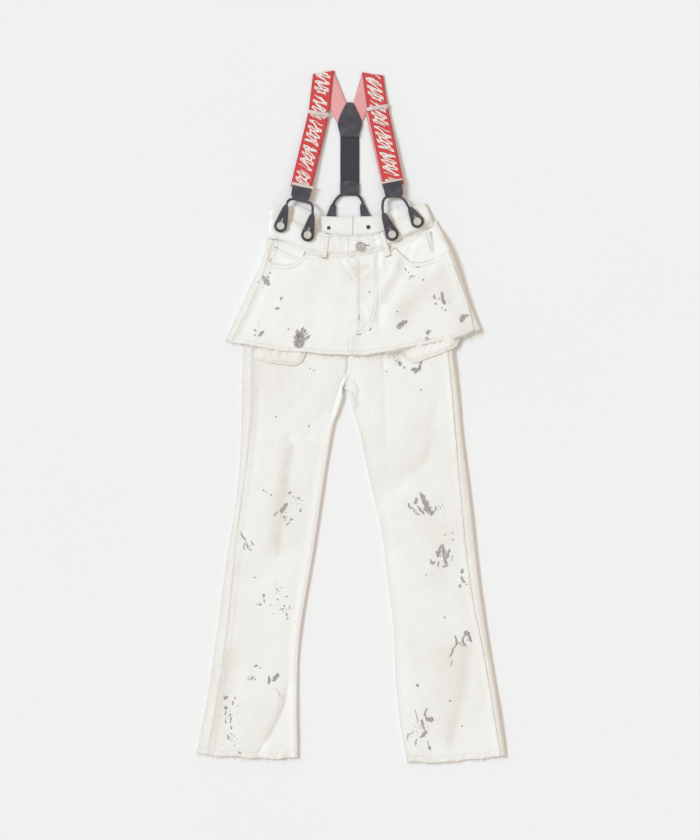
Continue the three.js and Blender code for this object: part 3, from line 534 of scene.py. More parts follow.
@dataclass(frozen=True)
class WashedTwill:
    """Bleached cotton twill, washed soft: fine diagonal wale, faint slubs and a warm cast in places."""

    name: str = "washed_cotton_twill"
    pale: str = "#F6F6F2"
    warm: str = "#EBE7DE"
    worn: str = "#DED8CD"
    wale: float = 2.2      # real wale is 0.6 mm, drawn coarser so that it shows
    depth: float = 0.10

    def colour(self, tree: bpy.types.NodeTree) -> bpy.types.NodeSocket:
        """The cloth's colour, with its slubs and its warm cast, drawn darker where it is marked: towards
        edges and seams, with soil, and with painted shade in creases and on rims.
        """
        place = add_node(tree, "ShaderNodeTexCoord").outputs["Object"]
        cast = between(tree, grain(tree, place, 170, 3.0, 0.6), 0.42, 0.78)
        slub = grain(tree, add_node(tree, "ShaderNodeMapping",
                                    {"Vector": place, "Scale": (1, 0.2, 1)}).outputs[0],
                     2.6, 3.0, 0.7)
        ground = blend(tree, maths(tree, "MULTIPLY", cast, 0.55), linear(self.pale), linear(self.warm))
        slubbed = blend(tree, maths(tree, "MULTIPLY", between(tree, slub, 0.45, 0.85), 0.22), ground,
                        linear(self.worn))
        # The marked tone: soil and wear, and painted shade in creases and on rims, broken into patches.
        wear_and_painted_light = add_node(tree, "ShaderNodeAttribute", attribute_name="wear_and_painted_light").outputs["Fac"]
        patchy = maths(tree, "MULTIPLY", wear_and_painted_light, maths(tree, "ADD", 0.35, grain(tree, place, 9, 3.0, 0.7)),
                       clamp=True)
        return blend(tree, patchy, slubbed, linear(self.worn))

    def height(self, tree: bpy.types.NodeTree) -> bpy.types.NodeSocket:
        """The cloth's surface: diagonal wale, crossed threads and nap."""
        place = add_node(tree, "ShaderNodeTexCoord").outputs["Object"]
        wale = maths(tree, "MULTIPLY", bands(tree, place, self.wale, 60, 1.5), 0.35)
        nap = maths(tree, "MULTIPLY", grain(tree, place, 1.9, 4.0, 0.65), 0.9)
        crumple = maths(tree, "MULTIPLY", grain(tree, place, 16, 4.0, 0.7), 6.0)
        wear_and_painted_light = add_node(tree, "ShaderNodeAttribute", attribute_name="wear_and_painted_light").outputs["Fac"]
        gather = maths(tree, "MULTIPLY", maths(tree, "MULTIPLY", grain(tree, place, 5.5, 2.0, 0.5),
                                               wear_and_painted_light), 9.0)
        return maths(tree, "ADD", maths(tree, "ADD", wale, nap), maths(tree, "ADD", crumple, gather))

    def material(self) -> bpy.types.Material:
        """Builds the material."""
        made, tree, shader = new_material(self.name)
        settle(tree, shader, self.colour(tree), self.height(tree), self.depth, Roughness=0.95,
               Sheen_Weight=0.15, Sheen_Roughness=0.5, Specular_IOR_Level=0.2)
        return made


@dataclass(frozen=True)
class Pocketing:
    """Plain-woven cotton pocketing, creamier than the twill, with a fine square weave."""

    name: str = "plain_woven_pocketing"
    pale: str = "#F6F5F0"
    warm: str = "#F0ECE3"

    def material(self) -> bpy.types.Material:
        """Builds the material. Its 0.4 mm threads are drawn at 1.6 mm so that they show."""
        made, tree, shader = new_material(self.name)
        place = add_node(tree, "ShaderNodeTexCoord").outputs["Object"]
        cast = between(tree, grain(tree, place, 30, 3.0, 0.6), 0.35, 0.7)
        wear_and_painted_light = add_node(tree, "ShaderNodeAttribute", attribute_name="wear_and_painted_light").outputs["Fac"]
        colour = blend(tree, wear_and_painted_light, blend(tree, cast, linear(self.pale), linear(self.warm)),
                       linear("#DCD5C7"))
        weave = maths(tree, "MULTIPLY", bands(tree, place, 1.6, 4), bands(tree, place, 1.6, 94))
        crumple = maths(tree, "MULTIPLY", grain(tree, place, 12, 3.0, 0.6), 4.0)
        settle(tree, shader, colour, maths(tree, "ADD", weave, crumple), 0.1, Roughness=0.95,
               Sheen_Weight=0.1, Specular_IOR_Level=0.2)
        return made


@dataclass(frozen=True)
class DriedPaint:
    """Grey wall paint, wiped and splashed on the cloth, thin enough at its rims to show the threads."""

    name: str = "dried_wall_paint"
    thick: str = "#918C88"
    thin: str = "#B7B2AB"

    def material(self, cloth: WashedTwill) -> bpy.types.Material:
        """Builds the material over the colour of the cloth under it.

        Args:
            cloth: The finish that shows where the paint is thin.
        """
        made, tree, shader = new_material(self.name)
        place = add_node(tree, "ShaderNodeTexCoord").outputs["Object"]
        cover = add_node(tree, "ShaderNodeAttribute", attribute_name="cover").outputs["Fac"]
        flow = add_node(tree, "ShaderNodeAttribute", attribute_name="flow").outputs["Vector"]
        bristle = add_node(tree, "ShaderNodeTexNoise", {"Vector": flow, "Scale": 0.9, "Detail": 4.0,
                                                        "Roughness": 0.7}).outputs[0]
        speckle = grain(tree, place, 1.6, 3.0, 0.75)
        broken = maths(tree, "SUBTRACT", maths(tree, "ADD", bristle, speckle), 1.0)
        shown = between(tree, maths(tree, "MULTIPLY_ADD", broken, 1.5, cover), 0.3, 0.62)
        tone = blend(tree, between(tree, broken, -0.15, 0.2), linear(self.thin), linear(self.thick))
        colour = blend(tree, shown, cloth.colour(tree), tone)
        settle(tree, shader, colour, cloth.height(tree), cloth.depth, Roughness=0.8,
               Specular_IOR_Level=0.3)
        return made


@dataclass(frozen=True)
class WovenWebbing:
    """Jacquard ribbon in red yarn with a floating cream motif, each ribbed across."""

    name: str = "jacquard_webbing"
    field: str = "#E24A4C"
    shade: str = "#CC4248"
    cream: str = "#F6E7DF"
    outline: str = "#7A2A33"
    repeat: float = 47.0

    def stroke(self, tree: bpy.types.NodeTree, across: bpy.types.NodeSocket, along: bpy.types.NodeSocket,
               swing: float, period: float, shift: float, lean: float) -> bpy.types.NodeSocket:
        """Distance in millimetres to the middle of one wavy stroke across the ribbon.

        Args:
            tree: The material's node tree.
            across: Place across the ribbon, in millimetres.
            along: Place along the ribbon, in millimetres.
            swing: How far the stroke swings to each side.
            period: Length of a swing there and back.
            shift: Where along the ribbon the stroke starts.
            lean: How far the swing leans along the ribbon.
        """
        leant = maths(tree, "MULTIPLY_ADD", across, lean, maths(tree, "ADD", along, shift))
        phase = maths(tree, "MULTIPLY", leant, 2 * math.pi / period)
        offset = maths(tree, "SUBTRACT", across,
                       maths(tree, "MULTIPLY", maths(tree, "SINE", phase), swing))
        slope = maths(tree, "MULTIPLY", maths(tree, "COSINE", phase), swing * 2 * math.pi / period)
        steep = maths(tree, "SQRT", maths(tree, "MULTIPLY_ADD", slope, slope, 1.0))
        return maths(tree, "DIVIDE", maths(tree, "ABSOLUTE", offset), steep)

    def material(self) -> bpy.types.Material:
        """Builds the material on the ribbon's own UV map, in metres across and along."""
        made, tree, shader = new_material(self.name)
        place = add_node(tree, "ShaderNodeUVMap", uv_map="weave").outputs[0]
        parts = add_node(tree, "ShaderNodeSeparateXYZ", {0: place})
        across = maths(tree, "MULTIPLY", parts.outputs[0], 1000.0)
        along = maths(tree, "MULTIPLY", parts.outputs[1], 1000.0)
        along = maths(tree, "MULTIPLY_ADD", grain(tree, place, 16.0, 1.0), 7.0, along)
        strokes = [
            self.stroke(tree, across, along, 12.0, 12.5, 0.0, 0.6),
            self.stroke(tree, across, along, 7.5, 18.0, 5.0, 0.6),
        ]
        nearest = maths(tree, "SUBTRACT", maths(tree, "MINIMUM", *strokes), 0.2)
        frayed = maths(tree, "MULTIPLY_ADD", grain(tree, place, 3.0, 2.0), 1.2, nearest)
        group = maths(tree, "ABSOLUTE", maths(tree, "SUBTRACT", maths(
            tree, "FLOORED_MODULO", maths(tree, "MULTIPLY_ADD", across, 0.42, along), self.repeat),
            self.repeat / 2))
        outside = maths(tree, "MAXIMUM", maths(tree, "SUBTRACT", group, self.repeat / 2 - 3.2),
                        maths(tree, "SUBTRACT", maths(tree, "ABSOLUTE", across), 13.5))
        edge = maths(tree, "MAXIMUM", frayed, maths(tree, "MULTIPLY_ADD", outside, 1.0, 1.9))
        shadow = maths(tree, "SUBTRACT", 1.0, between(tree, edge, 2.3, 2.9))
        motif = maths(tree, "SUBTRACT", 1.0, between(tree, edge, 1.8, 2.15))
        rib = bands(tree, place, 1.5, 90)
        ground = blend(tree, maths(tree, "MULTIPLY", rib, 0.35), linear(self.field), linear(self.shade))
        selvedge = between(tree, maths(tree, "ABSOLUTE", across), WEBBING_WIDTH / 2 - 1.3,
                           WEBBING_WIDTH / 2 - 0.9)
        colour = blend(tree, maths(tree, "MULTIPLY", selvedge, 0.75), ground, linear(self.outline))
        colour = blend(tree, maths(tree, "MULTIPLY", shadow, 0.8), colour, linear(self.outline))
        colour = blend(tree, motif, colour, linear(self.cream))
        raised = maths(tree, "MULTIPLY_ADD", motif, 1.6, rib)
        settle(tree, shader, colour, raised, 0.22, Roughness=0.8, Sheen_Weight=0.1,
               Specular_IOR_Level=0.3)
        return made


@dataclass(frozen=True)
class WebbingReverse:
    """The back of the ribbon, where red and cream yarns mix in a slanting melange."""

    name: str = "melange_reverse"
    pink: str = "#F8BEBD"
    red: str = "#E18587"

    def material(self) -> bpy.types.Material:
        """Builds the material on the ribbon's own UV map."""
        made, tree, shader = new_material(self.name)
        place = add_node(tree, "ShaderNodeUVMap", uv_map="weave").outputs[0]
        twill = bands(tree, place, 2.2, 52, 2.0)
        fleck = between(tree, grain(tree, place, 2.2, 3.0, 0.7), 0.4, 0.7)
        share = maths(tree, "MULTIPLY", maths(tree, "ADD", twill, fleck), 0.5)
        across = maths(tree, "MULTIPLY", add_node(tree, "ShaderNodeSeparateXYZ", {0: place}).outputs[0],
                       1000.0)
        edge = between(tree, maths(tree, "ABSOLUTE", across), WEBBING_WIDTH / 2 - 1.2,
                       WEBBING_WIDTH / 2 - 0.7)
        colour = blend(tree, share, linear(self.pink), linear(self.red))
        colour = blend(tree, maths(tree, "MULTIPLY", edge, 0.55), colour, linear("#8E4A52"))
        settle(tree, shader, colour, twill, 0.2, Roughness=0.85, Sheen_Weight=0.1, Specular_IOR_Level=0.3)
        return made


@dataclass(frozen=True)
class GrainedLeather:
    """Aniline-dyed charcoal leather, finely grained, a little lighter in patches, and lighter along its
    marked edges, where rubbed wear and a painted highlight are drawn.
    """

    name: str = "grained_leather"
    dark: str = "#3F3D43"
    rubbed_and_highlight: str = "#5F5D65"

    def material(self) -> bpy.types.Material:
        """Builds the material. The grain's cells are 1.4 mm."""
        made, tree, shader = new_material(self.name)
        place = add_node(tree, "ShaderNodeTexCoord").outputs["Object"]
        cells = add_node(tree, "ShaderNodeTexVoronoi", {"Vector": place, "Scale": 1000 / 1.4},
                         feature="SMOOTH_F1").outputs[0]
        tone = between(tree, grain(tree, place, 14, 3.0, 0.6), 0.35, 0.7)
        # The marked tone lightens the leather: rubbed wear, and a painted highlight along the rounded
        # edges.
        wear_and_painted_light = add_node(tree, "ShaderNodeAttribute", attribute_name="wear_and_painted_light").outputs["Fac"]
        colour = blend(tree, maths(tree, "MULTIPLY_ADD", tone, 0.55, wear_and_painted_light, clamp=True), linear(self.dark),
                       linear(self.rubbed_and_highlight))
        settle(tree, shader, colour, maths(tree, "MULTIPLY_ADD", cells, -0.6,
                                           grain(tree, place, 5, 3.0)), 0.18,
               Roughness=0.55, Specular_IOR_Level=0.45)
        return made


@dataclass(frozen=True)
class RibbedElastic:
    """Knitted elastic tape in charcoal, with fine ribs along its length."""

    name: str = "ribbed_elastic"
    dark: str = "#36363D"
    rib: str = "#4B4B54"

    def material(self) -> bpy.types.Material:
        """Builds the material. Its 1.5 mm ribs run along the tape."""
        made, tree, shader = new_material(self.name)
        place = add_node(tree, "ShaderNodeTexCoord").outputs["Object"]
        ribs = bands(tree, place, 2.4, 0)
        knit = bands(tree, place, 1.6, 90)
        colour = blend(tree, ribs, linear(self.dark), linear(self.rib))
        settle(tree, shader, colour, maths(tree, "MULTIPLY_ADD", knit, 0.3, ribs), 0.3, Roughness=0.85,
               Specular_IOR_Level=0.3)
        return made


@dataclass(frozen=True)
class PlatedMetal:
    """Nickel-plated metal, satin from handling, with darker tarnish in patches."""

    name: str
    bright: str
    tarnish: str
    roughness: float
    metallic: float

    def material(self) -> bpy.types.Material:
        """Builds the material. The tarnish lies in patches of a few millimetres."""
        made, tree, shader = new_material(self.name)
        place = add_node(tree, "ShaderNodeTexCoord").outputs["Object"]
        patch = between(tree, grain(tree, place, 5, 4.0, 0.65), 0.45, 0.75)
        colour = blend(tree, patch, linear(self.bright), linear(self.tarnish))
        settle(tree, shader, colour, grain(tree, place, 0.9, 3.0), 0.02,
               Metallic=self.metallic, Roughness=self.roughness)
        return made


@dataclass(frozen=True)
class CottonThread:
    """Spun cotton thread, matt, its twist too fine to show."""

    name: str
    colour: str
    shade: str

    def material(self) -> bpy.types.Material:
        """Builds the material, with its tone changing every few millimetres."""
        made, tree, shader = new_material(self.name)
        place = add_node(tree, "ShaderNodeTexCoord").outputs["Object"]
        tone = between(tree, grain(tree, place, 6, 3.0, 0.6), 0.35, 0.65)
        colour = blend(tree, tone, linear(self.colour), linear(self.shade))
        settle(tree, shader, colour, None, 0, Roughness=0.9, Sheen_Weight=0.15, Specular_IOR_Level=0.2)
        return made


@dataclass
class Wardrobe:
    """Every material of the garment, made once."""

    denim: bpy.types.Material = field(default_factory=lambda: WashedTwill().material())
    pocketing: bpy.types.Material = field(default_factory=lambda: Pocketing().material())
    paint: bpy.types.Material = field(default_factory=lambda: DriedPaint().material(WashedTwill()))
    webbing: bpy.types.Material = field(default_factory=lambda: WovenWebbing().material())
    reverse: bpy.types.Material = field(default_factory=lambda: WebbingReverse().material())
    leather: bpy.types.Material = field(default_factory=lambda: GrainedLeather().material())
    elastic: bpy.types.Material = field(default_factory=lambda: RibbedElastic().material())
    slider: bpy.types.Material = field(
        default_factory=lambda: PlatedMetal("satin_nickel", "#E6DAD7", "#C6B9B6", 0.45, 0.4).material())
    button: bpy.types.Material = field(
        default_factory=lambda: PlatedMetal("enamelled_brass", "#CFD0C5", "#B9BAAE", 0.42,
                                            0.0).material())
    rivet: bpy.types.Material = field(
        default_factory=lambda: PlatedMetal("aged_steel", "#C9C6C0", "#9C9A94", 0.6, 0.5).material())
    stitch: bpy.types.Material = field(
        default_factory=lambda: CottonThread("sewing_thread", "#D3CCBC", "#BFB7A5").material())
    fray: bpy.types.Material = field(
        default_factory=lambda: CottonThread("frayed_yarn", "#F2F0E9", "#E4DFD2").material())
    dark_thread: bpy.types.Material = field(
        default_factory=lambda: CottonThread("grey_leather_thread", "#7F7E88", "#66656F").material())
    prong: bpy.types.Material = field(
        default_factory=lambda: PlatedMetal("oxidised_prongs", "#5A5958", "#3F3E3D", 0.5, 0.8).material())


class Slot(Enum):
    """The record's material slots."""

    DENIM = "denim"
    POCKETING = "pocketing"
    WEBBING = "webbing"
    LEATHER = "leather"
    ELASTIC = "elastic"
    SLIDER = "slider_metal"
    BUTTON = "button_metal"


def dress(piece: bpy.types.Object, material: bpy.types.Material, slot: Slot,
          *nodes: str) -> bpy.types.Object:
    """Gives a finished piece its material and slot, and lets it ride in place of its solids.

    Args:
        piece: The piece.
        material: Its material.
        slot: The record's slot; not used.
        nodes: The frame's solids that it stands for.
    """
    if not piece.data.materials:
        piece.data.materials.append(material)
    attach(piece, "root")
    if nodes:
        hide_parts(*nodes)
    log.info("%s: %d faces", piece.name, len(piece.data.polygons))
    return piece


# ---------------------------------------------------------------- cloth panels

# how far in the cloth rounds down, at sides that face left and right
RIM = {Side.LEFT: 1.3, Side.RIGHT: 3.4}


def crown(distance: np.ndarray, rim: float = 3.4) -> np.ndarray:
    """How far a rounded side has risen, from 0 at its outermost line to 1 past the rim."""
    t = np.clip(distance / rim, 0, 1)
    return np.sqrt(1 - (1 - t) ** 2)


def pucker(x: np.ndarray, y: np.ndarray, distance: np.ndarray, reach: float, height: float,
           seed: int) -> np.ndarray:
    """Small gathers that a seam's shrunken thread pulls into the cloth beside it."""
    lumps = undulation(x, y, 11, seed) + 0.5 * undulation(x, y, 5.5, seed + 1)
    return height * lumps * np.exp(-((distance / reach) ** 2))


def seam(distance: np.ndarray, allowance: float = 9.0) -> np.ndarray:
    """The surface beside a seam: pulled down at the seam, padded by the allowance under it."""
    padding = 0.45 * (1 - ease(distance, allowance - 3, allowance + 1))
    return padding - 0.3 * np.exp(-((distance / 1.3) ** 2))


@dataclass
class Panel:
    """A flat-laid panel between two side lines and two end lines, its upper surface set by a function.

    Attributes:
        name: The node it stands for.
        sides: Left and right lines, read by their height on the table.
        ends: Lower and upper lines, read by their place along X.
        surface: Height of the cloth from x, y and the distances to the left and right lines.
        thickness: Of the cloth.
        step: Size of the mesh's faces in the middle.
        fine: Their size at the edges.
        margin: How far in from the edges they are fine.
        soil_and_shade: Lines along which the cloth is drawn darker: soil, and painted shade in the creases
            they follow.
        tone: How much darker the whole panel is.
    """

    name: str
    sides: tuple[Line, Line]
    ends: tuple[Line, Line]
    surface: Callable[[np.ndarray, np.ndarray, np.ndarray, np.ndarray], np.ndarray]
    thickness: float = DENIM
    step: float = 3.6
    fine: float = 1.2
    margin: float = 9.6
    soil_and_shade: Sequence[Fold] = ()
    tone: float = 0.0

    def build(self) -> bpy.types.Object:
        """Lays the grid between the lines, raises it to its surface and thickens it."""
        left, right = self.sides
        low, high = self.ends
        middle = float(np.mean(low.samples[:, 1]) + np.mean(high.samples[:, 1])) / 2
        width = abs(float(right.x_at(middle) - left.x_at(middle)))
        length = abs(float(np.mean(high.samples[:, 1]) - np.mean(low.samples[:, 1])))
        across = shares(width, self.step, self.fine, min(self.margin, width / 4))[None, :]
        along = shares(length, self.step, self.fine, min(self.margin, length / 4))[:, None]
        x = left.x_at(middle) * (1 - across) + right.x_at(middle) * across + 0 * along
        y = middle + 0 * x
        for _ in range(8):
            y = low.y_at(x) * (1 - along) + high.y_at(x) * along
            x = left.x_at(y) * (1 - across) + right.x_at(y) * across
        to_left, to_right = x - left.x_at(y), right.x_at(y) - x
        z = self.surface(x, y, to_left, to_right)
        points = np.stack([x, y, z], axis=-1)
        piece = grid_piece(self.name, points, weave=points[..., :2])
        edge = np.minimum(np.minimum(to_left, to_right), np.minimum(y - low.y_at(x), high.y_at(x) - y))
        # Darker towards the edges, along the listed lines for soil and painted crease shade, and by an
        # even tone.
        mark_wear_and_painted_light(piece, 0.3 * np.exp(-((edge / 2.2) ** 2)) + 0.22 * np.exp(-((edge / 8) ** 2))
                  + creases(self.soil_and_shade, x, y) + self.tone)
        return thicken(piece, self.thickness)


def mark_wear_and_painted_light(piece: bpy.types.Object, wear_and_painted_light: np.ndarray) -> None:
    """Stores, from 0 to 1, how far each point's colour moves from the plain finish: wear and soil, painted
    shade in creases and on rims, and on leather a painted highlight at the edges.
    """
    layer = piece.data.attributes.new("wear_and_painted_light", "FLOAT", "POINT")
    layer.data.foreach_set("value", np.clip(wear_and_painted_light, 0, 1).astype(np.float32).ravel())


@dataclass
class WrappedBack:
    """A back panel that lies on the table and wraps over its outer side, and over its inner side
    below the crotch, up to the seams with the front.

    Attributes:
        name: The node it stands for.
        side: The garment's side it is on.
        seam_line: The side seam, where the panel ends on top.
        outer: The folded outer side.
        inner: The inner side: the centre seam, and below the crotch the folded inner side.
        crotch: Heights on the table between which the inner side starts to wrap.
        ends: Lower and upper lines.
        top: Height of the garment's upper surface from x and y.
        floor: Height of its underside from x and y.
        step: Size of the mesh's faces in the middle.
        soil_and_shade: How much darker the outer strip and outer rim are drawn, for soil and painted
            shade.
        gather: Depth of the puckers at the side seam, and which ones.
    """

    name: str
    side: Side
    seam_line: Line
    outer: Line
    inner: Line
    crotch: tuple[float, float]
    ends: tuple[Line, Line]
    top: Callable[[np.ndarray, np.ndarray], np.ndarray]
    floor: Callable[[np.ndarray, np.ndarray], np.ndarray]
    step: float = 3.6
    soil_and_shade: float = 0.25
    gather: tuple[float, int] = (0.5, 21)

    UNDER: ClassVar[float] = 3.0    # how far the panel runs on under the front past its seam

    def section(self) -> tuple[np.ndarray, np.ndarray]:
        """Columns of the panel's section.

        Returns:
            The stretch each column lies on, from 0 the outer strip to 4 the inner strip, and the
            column's share of that stretch.
        """
        stretch, share = [], []
        for kind, count in ((0, 8), (1, 9), (2, 22), (3, 9), (4, 1)):
            stretch += [kind] * count
            share += list(np.linspace(0, 1, count, endpoint=kind == 4))
        return np.array(stretch)[None, :], np.array(share)[None, :]

    def spread(self, kind: np.ndarray, share: np.ndarray, y: np.ndarray) -> tuple[np.ndarray, np.ndarray]:
        """The section's columns along X at heights on the table, and their way from the side seam."""
        sign = self.side.value
        outer, inner = self.outer.x_at(y), self.inner.x_at(y)
        rim, far_rim = RIM[self.side], RIM[Side(-sign)]
        strip = np.maximum(np.abs(outer - self.seam_line.x_at(y)), rim)
        turn = math.pi / 2 - math.pi * share
        from_outer = np.select(
            [kind == 0, kind == 1, kind == 2],
            [(strip + self.UNDER) * (1 - share) + rim * share, rim * (1 - np.cos(turn)),
             rim + (np.abs(outer - inner) - rim - far_rim) * share], 0)
        from_inner = np.select([kind == 3, kind == 4], [far_rim * (1 - np.cos(turn)), far_rim], 0)
        x = np.where(kind <= 2, outer - sign * from_outer, inner + sign * from_inner)
        wrap = 1 - ease(y, *self.crotch)
        under_x = inner + sign * (1 - (kind + share - 3) / 2) * 4
        x = np.where(kind >= 3, x * wrap + under_x * (1 - wrap), x)
        return x, np.where(kind == 0, strip - from_outer, 99)

    def build(self) -> bpy.types.Object:
        """Lays the section along the panel's length and thickens it inwards."""
        low, high = self.ends
        length = float(np.mean(high.samples[:, 1]) - np.mean(low.samples[:, 1]))
        along = shares(length, self.step, 1.6, 8)[:, None]
        kind, share = self.section()
        y = float(np.mean(low.samples[:, 1])) + length * along + 0.0 * share
        for _ in range(8):
            x, from_seam = self.spread(kind, share, y)
            y = low.y_at(x) * (1 - along) + high.y_at(x) * along
        top, floor = self.top(x, y), self.floor(x, y)
        middle = (top + floor) / 2
        turn = math.pi / 2 - math.pi * share
        rise = np.select([kind == 1, kind == 3], [np.sin(turn), -np.sin(turn)], 0)
        z = np.select([kind == 0, (kind == 1) | (kind == 3), kind == 2, kind == 4],
                      [top, middle + rise * (top - floor) / 2, floor, top], floor)
        z = z + np.where(kind == 0, pucker(x, y, from_seam, 8,
                                           *self.gather) + seam(np.maximum(from_seam, 0))
                     - 1.3 * ease(-from_seam, -1.0, 0.1), 0)
        wrap = 1 - ease(y, *self.crotch)
        z = np.where(kind >= 3, z * wrap + floor * (1 - wrap), z)
        points = np.stack([x, y, z], axis=-1)
        reach = np.cumsum(np.linalg.norm(np.diff(points, axis=1, prepend=points[:, :1]), axis=2), axis=1)
        piece = grid_piece(self.name, points, weave=np.stack([reach, y], axis=-1),
                           flip=self.side is Side.LEFT)
        # The rim that faces the lamp is drawn darker, a painted shade that tones down its highlight; the
        # outer strip and rim are darker for soil and painted shade; the cloth darkens towards the side
        # seam.
        painted_shade_on_lit_rim = (kind == 1) if self.side is Side.LEFT else (kind == 3)
        mark_wear_and_painted_light(piece, 0.3 * np.exp(-((from_seam / 2.2) ** 2)) + np.where(kind <= 1, self.soil_and_shade, 0.0)
                  + 0.5 * painted_shade_on_lit_rim)
        return thicken(piece, DENIM)


# ---------------------------------------------------------------- trousers


@dataclass
class Trousers:
    """Flared five-pocket trousers: four leg panels, laid flat with the seams rolled to the front."""

    outseam: dict[Side, Line] = field(default_factory=lambda: {
        Side.LEFT: Line((-140, 372), (-141, 330), (-150, 270), (-165, 200), (-179, 123), (-180, 31),
                        (-191, -90), (-208, -214), (-228, -413), (-262, -626)),
        Side.RIGHT: Line((140, 384), (138, 350), (150, 300), (166, 220), (181, 116), (190, 31),
                         (200, -97), (221, -302), (252, -469), (278, -629)),
    })
    outer: dict[Side, Line] = field(default_factory=lambda: {
        Side.LEFT: Line((-146, 372), (-150, 330), (-164, 270), (-182, 200), (-199, 127), (-203, -49),
                        (-212, -154), (-232, -284), (-260, -487), (-286, -626)),
        Side.RIGHT: Line((146, 384), (148, 350), (160, 300), (176, 220), (190, 121), (201, 31),
                         (209, -51), (221, -145), (238, -302), (253, -406), (269, -502), (288, -629)),
    })
    inner: dict[Side, Line] = field(default_factory=lambda: {
        Side.LEFT: Line((-2, 380), (-2, 240), (-4, 150), (-5, 112), (-6, 88), (-9, 66), (-12.5, 54),
                        (-13.5, 46),
                        (-13, 36), (-16.5, 24), (-23, 6),
                        (-36, -43), (-69, -256), (-82, -332), (-92, -395), (-97, -460), (-98, -540),
                        (-97, -632)),
        Side.RIGHT: Line((-2, 380), (-2, 240), (-4, 150), (-5, 112), (-6, 88), (-9, 66), (-11.5, 52),
                         (-10, 49.5),
                         (-3.5, 47.5), (-1.5, 44), (-1, 34), (1, 24), (18, -32), (34, -112), (56, -204),
                         (68, -302), (79, -389), (83, -475),
                         (92, -571), (105, -641)),
    })
    inseam: Line = field(default_factory=lambda: Line(
        (-2, 380), (-2, 240), (-4, 150), (-5, 112), (-7, 88), (-18, 62), (-27, 30), (-38, -7),
        (-43, -30), (-54, -110), (-71.5, -256), (-85, -332), (-95, -395), (-100, -460), (-101, -540),
        (-100, -632)))
    hem: dict[Side, Line] = field(default_factory=lambda: {
        Side.LEFT: Line((-290, -622), (-262, -625), (-240, -629), (-212, -628), (-190, -632),
                        (-165, -631),
                        (-140, -634), (-118, -631), (-94, -630)),
        Side.RIGHT: Line((100, -639), (124, -638), (147, -641), (172, -639), (195, -638), (221, -634),
                         (245, -633), (268, -629), (292, -626)),
    })
    waist: Line = field(default_factory=lambda: Line(
        (-160, 330), (-121, 322), (-60, 324), (0, 326), (60, 326), (121, 336), (160, 344)))
    # Lines and patches drawn darker on the legs: painted shade along the troughs of the creases, and broad
    # smudges of soil.
    soil_and_shade: list[Fold] = field(default_factory=lambda: [
        Fold(Line((-110, -55), (-118, -100), (-124, -150), (-132, -200), (-137, -250)), 8, 0.75),
        Fold(Line((-112, -150), (-118, -230)), 26, 0.22),
        Fold(Line((-124, -520), (-134, -556), (-152, -592)), 8, 0.5),
        Fold(Line((-226, -440), (-244, -520), (-262, -600)), 16, 0.35),
        Fold(Line((140, -180), (165, -250), (160, -300)), 30, 0.28),
        Fold(Line((213, -432), (206, -500), (184, -598)), 12, 0.45),
        Fold(Line((170, -470), (160, -560)), 34, 0.25),
        Fold(Line((150, -30), (146, -62), (120, -100)), 12, 0.3),
    ])
    folds: list[Fold] = field(default_factory=lambda: [
        # the sides that lift a little off the table
        Fold(Line((140, 384), (152, 300), (184, 121), (195, 31), (203, -51), (215, -145), (232, -302),
                  (247, -406), (263, -502), (282, -629)), 10, 2.3),
        Fold(Line((-28, 0), (-42, -43), (-75, -256), (-88, -332), (-98, -395), (-103, -460), (-104, -540),
                  (-103, -632)), 8, 1.7),
        # left leg: the long trough down the thigh and knee, with a soft ridge at each side
        Fold(Line((-112, -40), (-120, -100), (-128, -150), (-136, -192), (-143, -250)), 9, -1.0),
        Fold(Line((-98, -60), (-106, -130), (-120, -200)), 14, 0.3),
        Fold(Line((-138, -70), (-146, -140), (-154, -200)), 16, 0.3),
        Fold(Line((-118, -290), (-140, -293), (-165, -297)), 7, -0.7),
        Fold(Line((-117, -506), (-124, -535), (-132, -555), (-150, -590), (-171, -620)), 10, -0.9),
        Fold(Line((-114, -490), (-121, -530), (-131, -555), (-149, -590), (-170, -622)), 2.2, -1.2),
        Fold(Line((-104, -520), (-112, -560), (-128, -600)), 12, 0.2),
        Fold(Line((-200, -420), (-215, -500), (-232, -600)), 14, -0.6),
        Fold(Line((-70, 60), (-95, 30), (-118, 8)), 10, -0.6),
        Fold(Line((-40, 20), (-62, -6), (-80, -40)), 9, -0.6),
        Fold(Line((-170, 60), (-172, -20), (-180, -90)), 9, -0.5),
        # right leg: the sharp fold from the crotch, the curved one at the side, and the flare's
        Fold(Line((61, 112), (62, 80), (63, 40), (65, -5), (66, -50)), 4.5, -0.5),
        Fold(Line((60, 116), (61, 98), (62, 84)), 3.0, -0.7),
        Fold(Line((164, 22), (157, 0), (152, -10), (147, -36), (147, -62)), 8, -0.5),
        Fold(Line((147, -62), (138, -84), (110, -108), (92, -132), (60, -140)), 10, -0.55),
        Fold(Line((150, -90), (120, -118), (100, -146)), 12, 0.2),
        # the crotch: the line into it, the raised rim of the left leg and the pinch of the right
        Fold(Line((-6.5, 112), (-5.5, 92), (-9, 77), (-15.5, 66)), 2.4, -1.5),
        Fold(Line((-10, 70), (-15, 55), (-17, 38), (-25, 8)), 6, 2.2),
        Fold(Line((0, 62), (4, 52), (2, 40), (6, 24)), 6, 2.0),
        Fold(Line((5, 62), (9.5, 56), (11.5, 47), (10.5, 38)), 2.4, 1.1),
        Fold(Line((9, 65), (14.5, 57), (16, 46), (14, 36)), 2.2, -1.3),
        Fold(Line((213, -432), (206, -500), (184, -598)), 14, -0.5),
        Fold(Line((120, -430), (140, -520), (150, -610)), 16, -0.6),
        Fold(Line((95, -240), (130, -262), (165, -270)), 11, -0.5),
        Fold(Line((4, 60), (14, 34), (34, 10)), 7, -0.8),
    ])

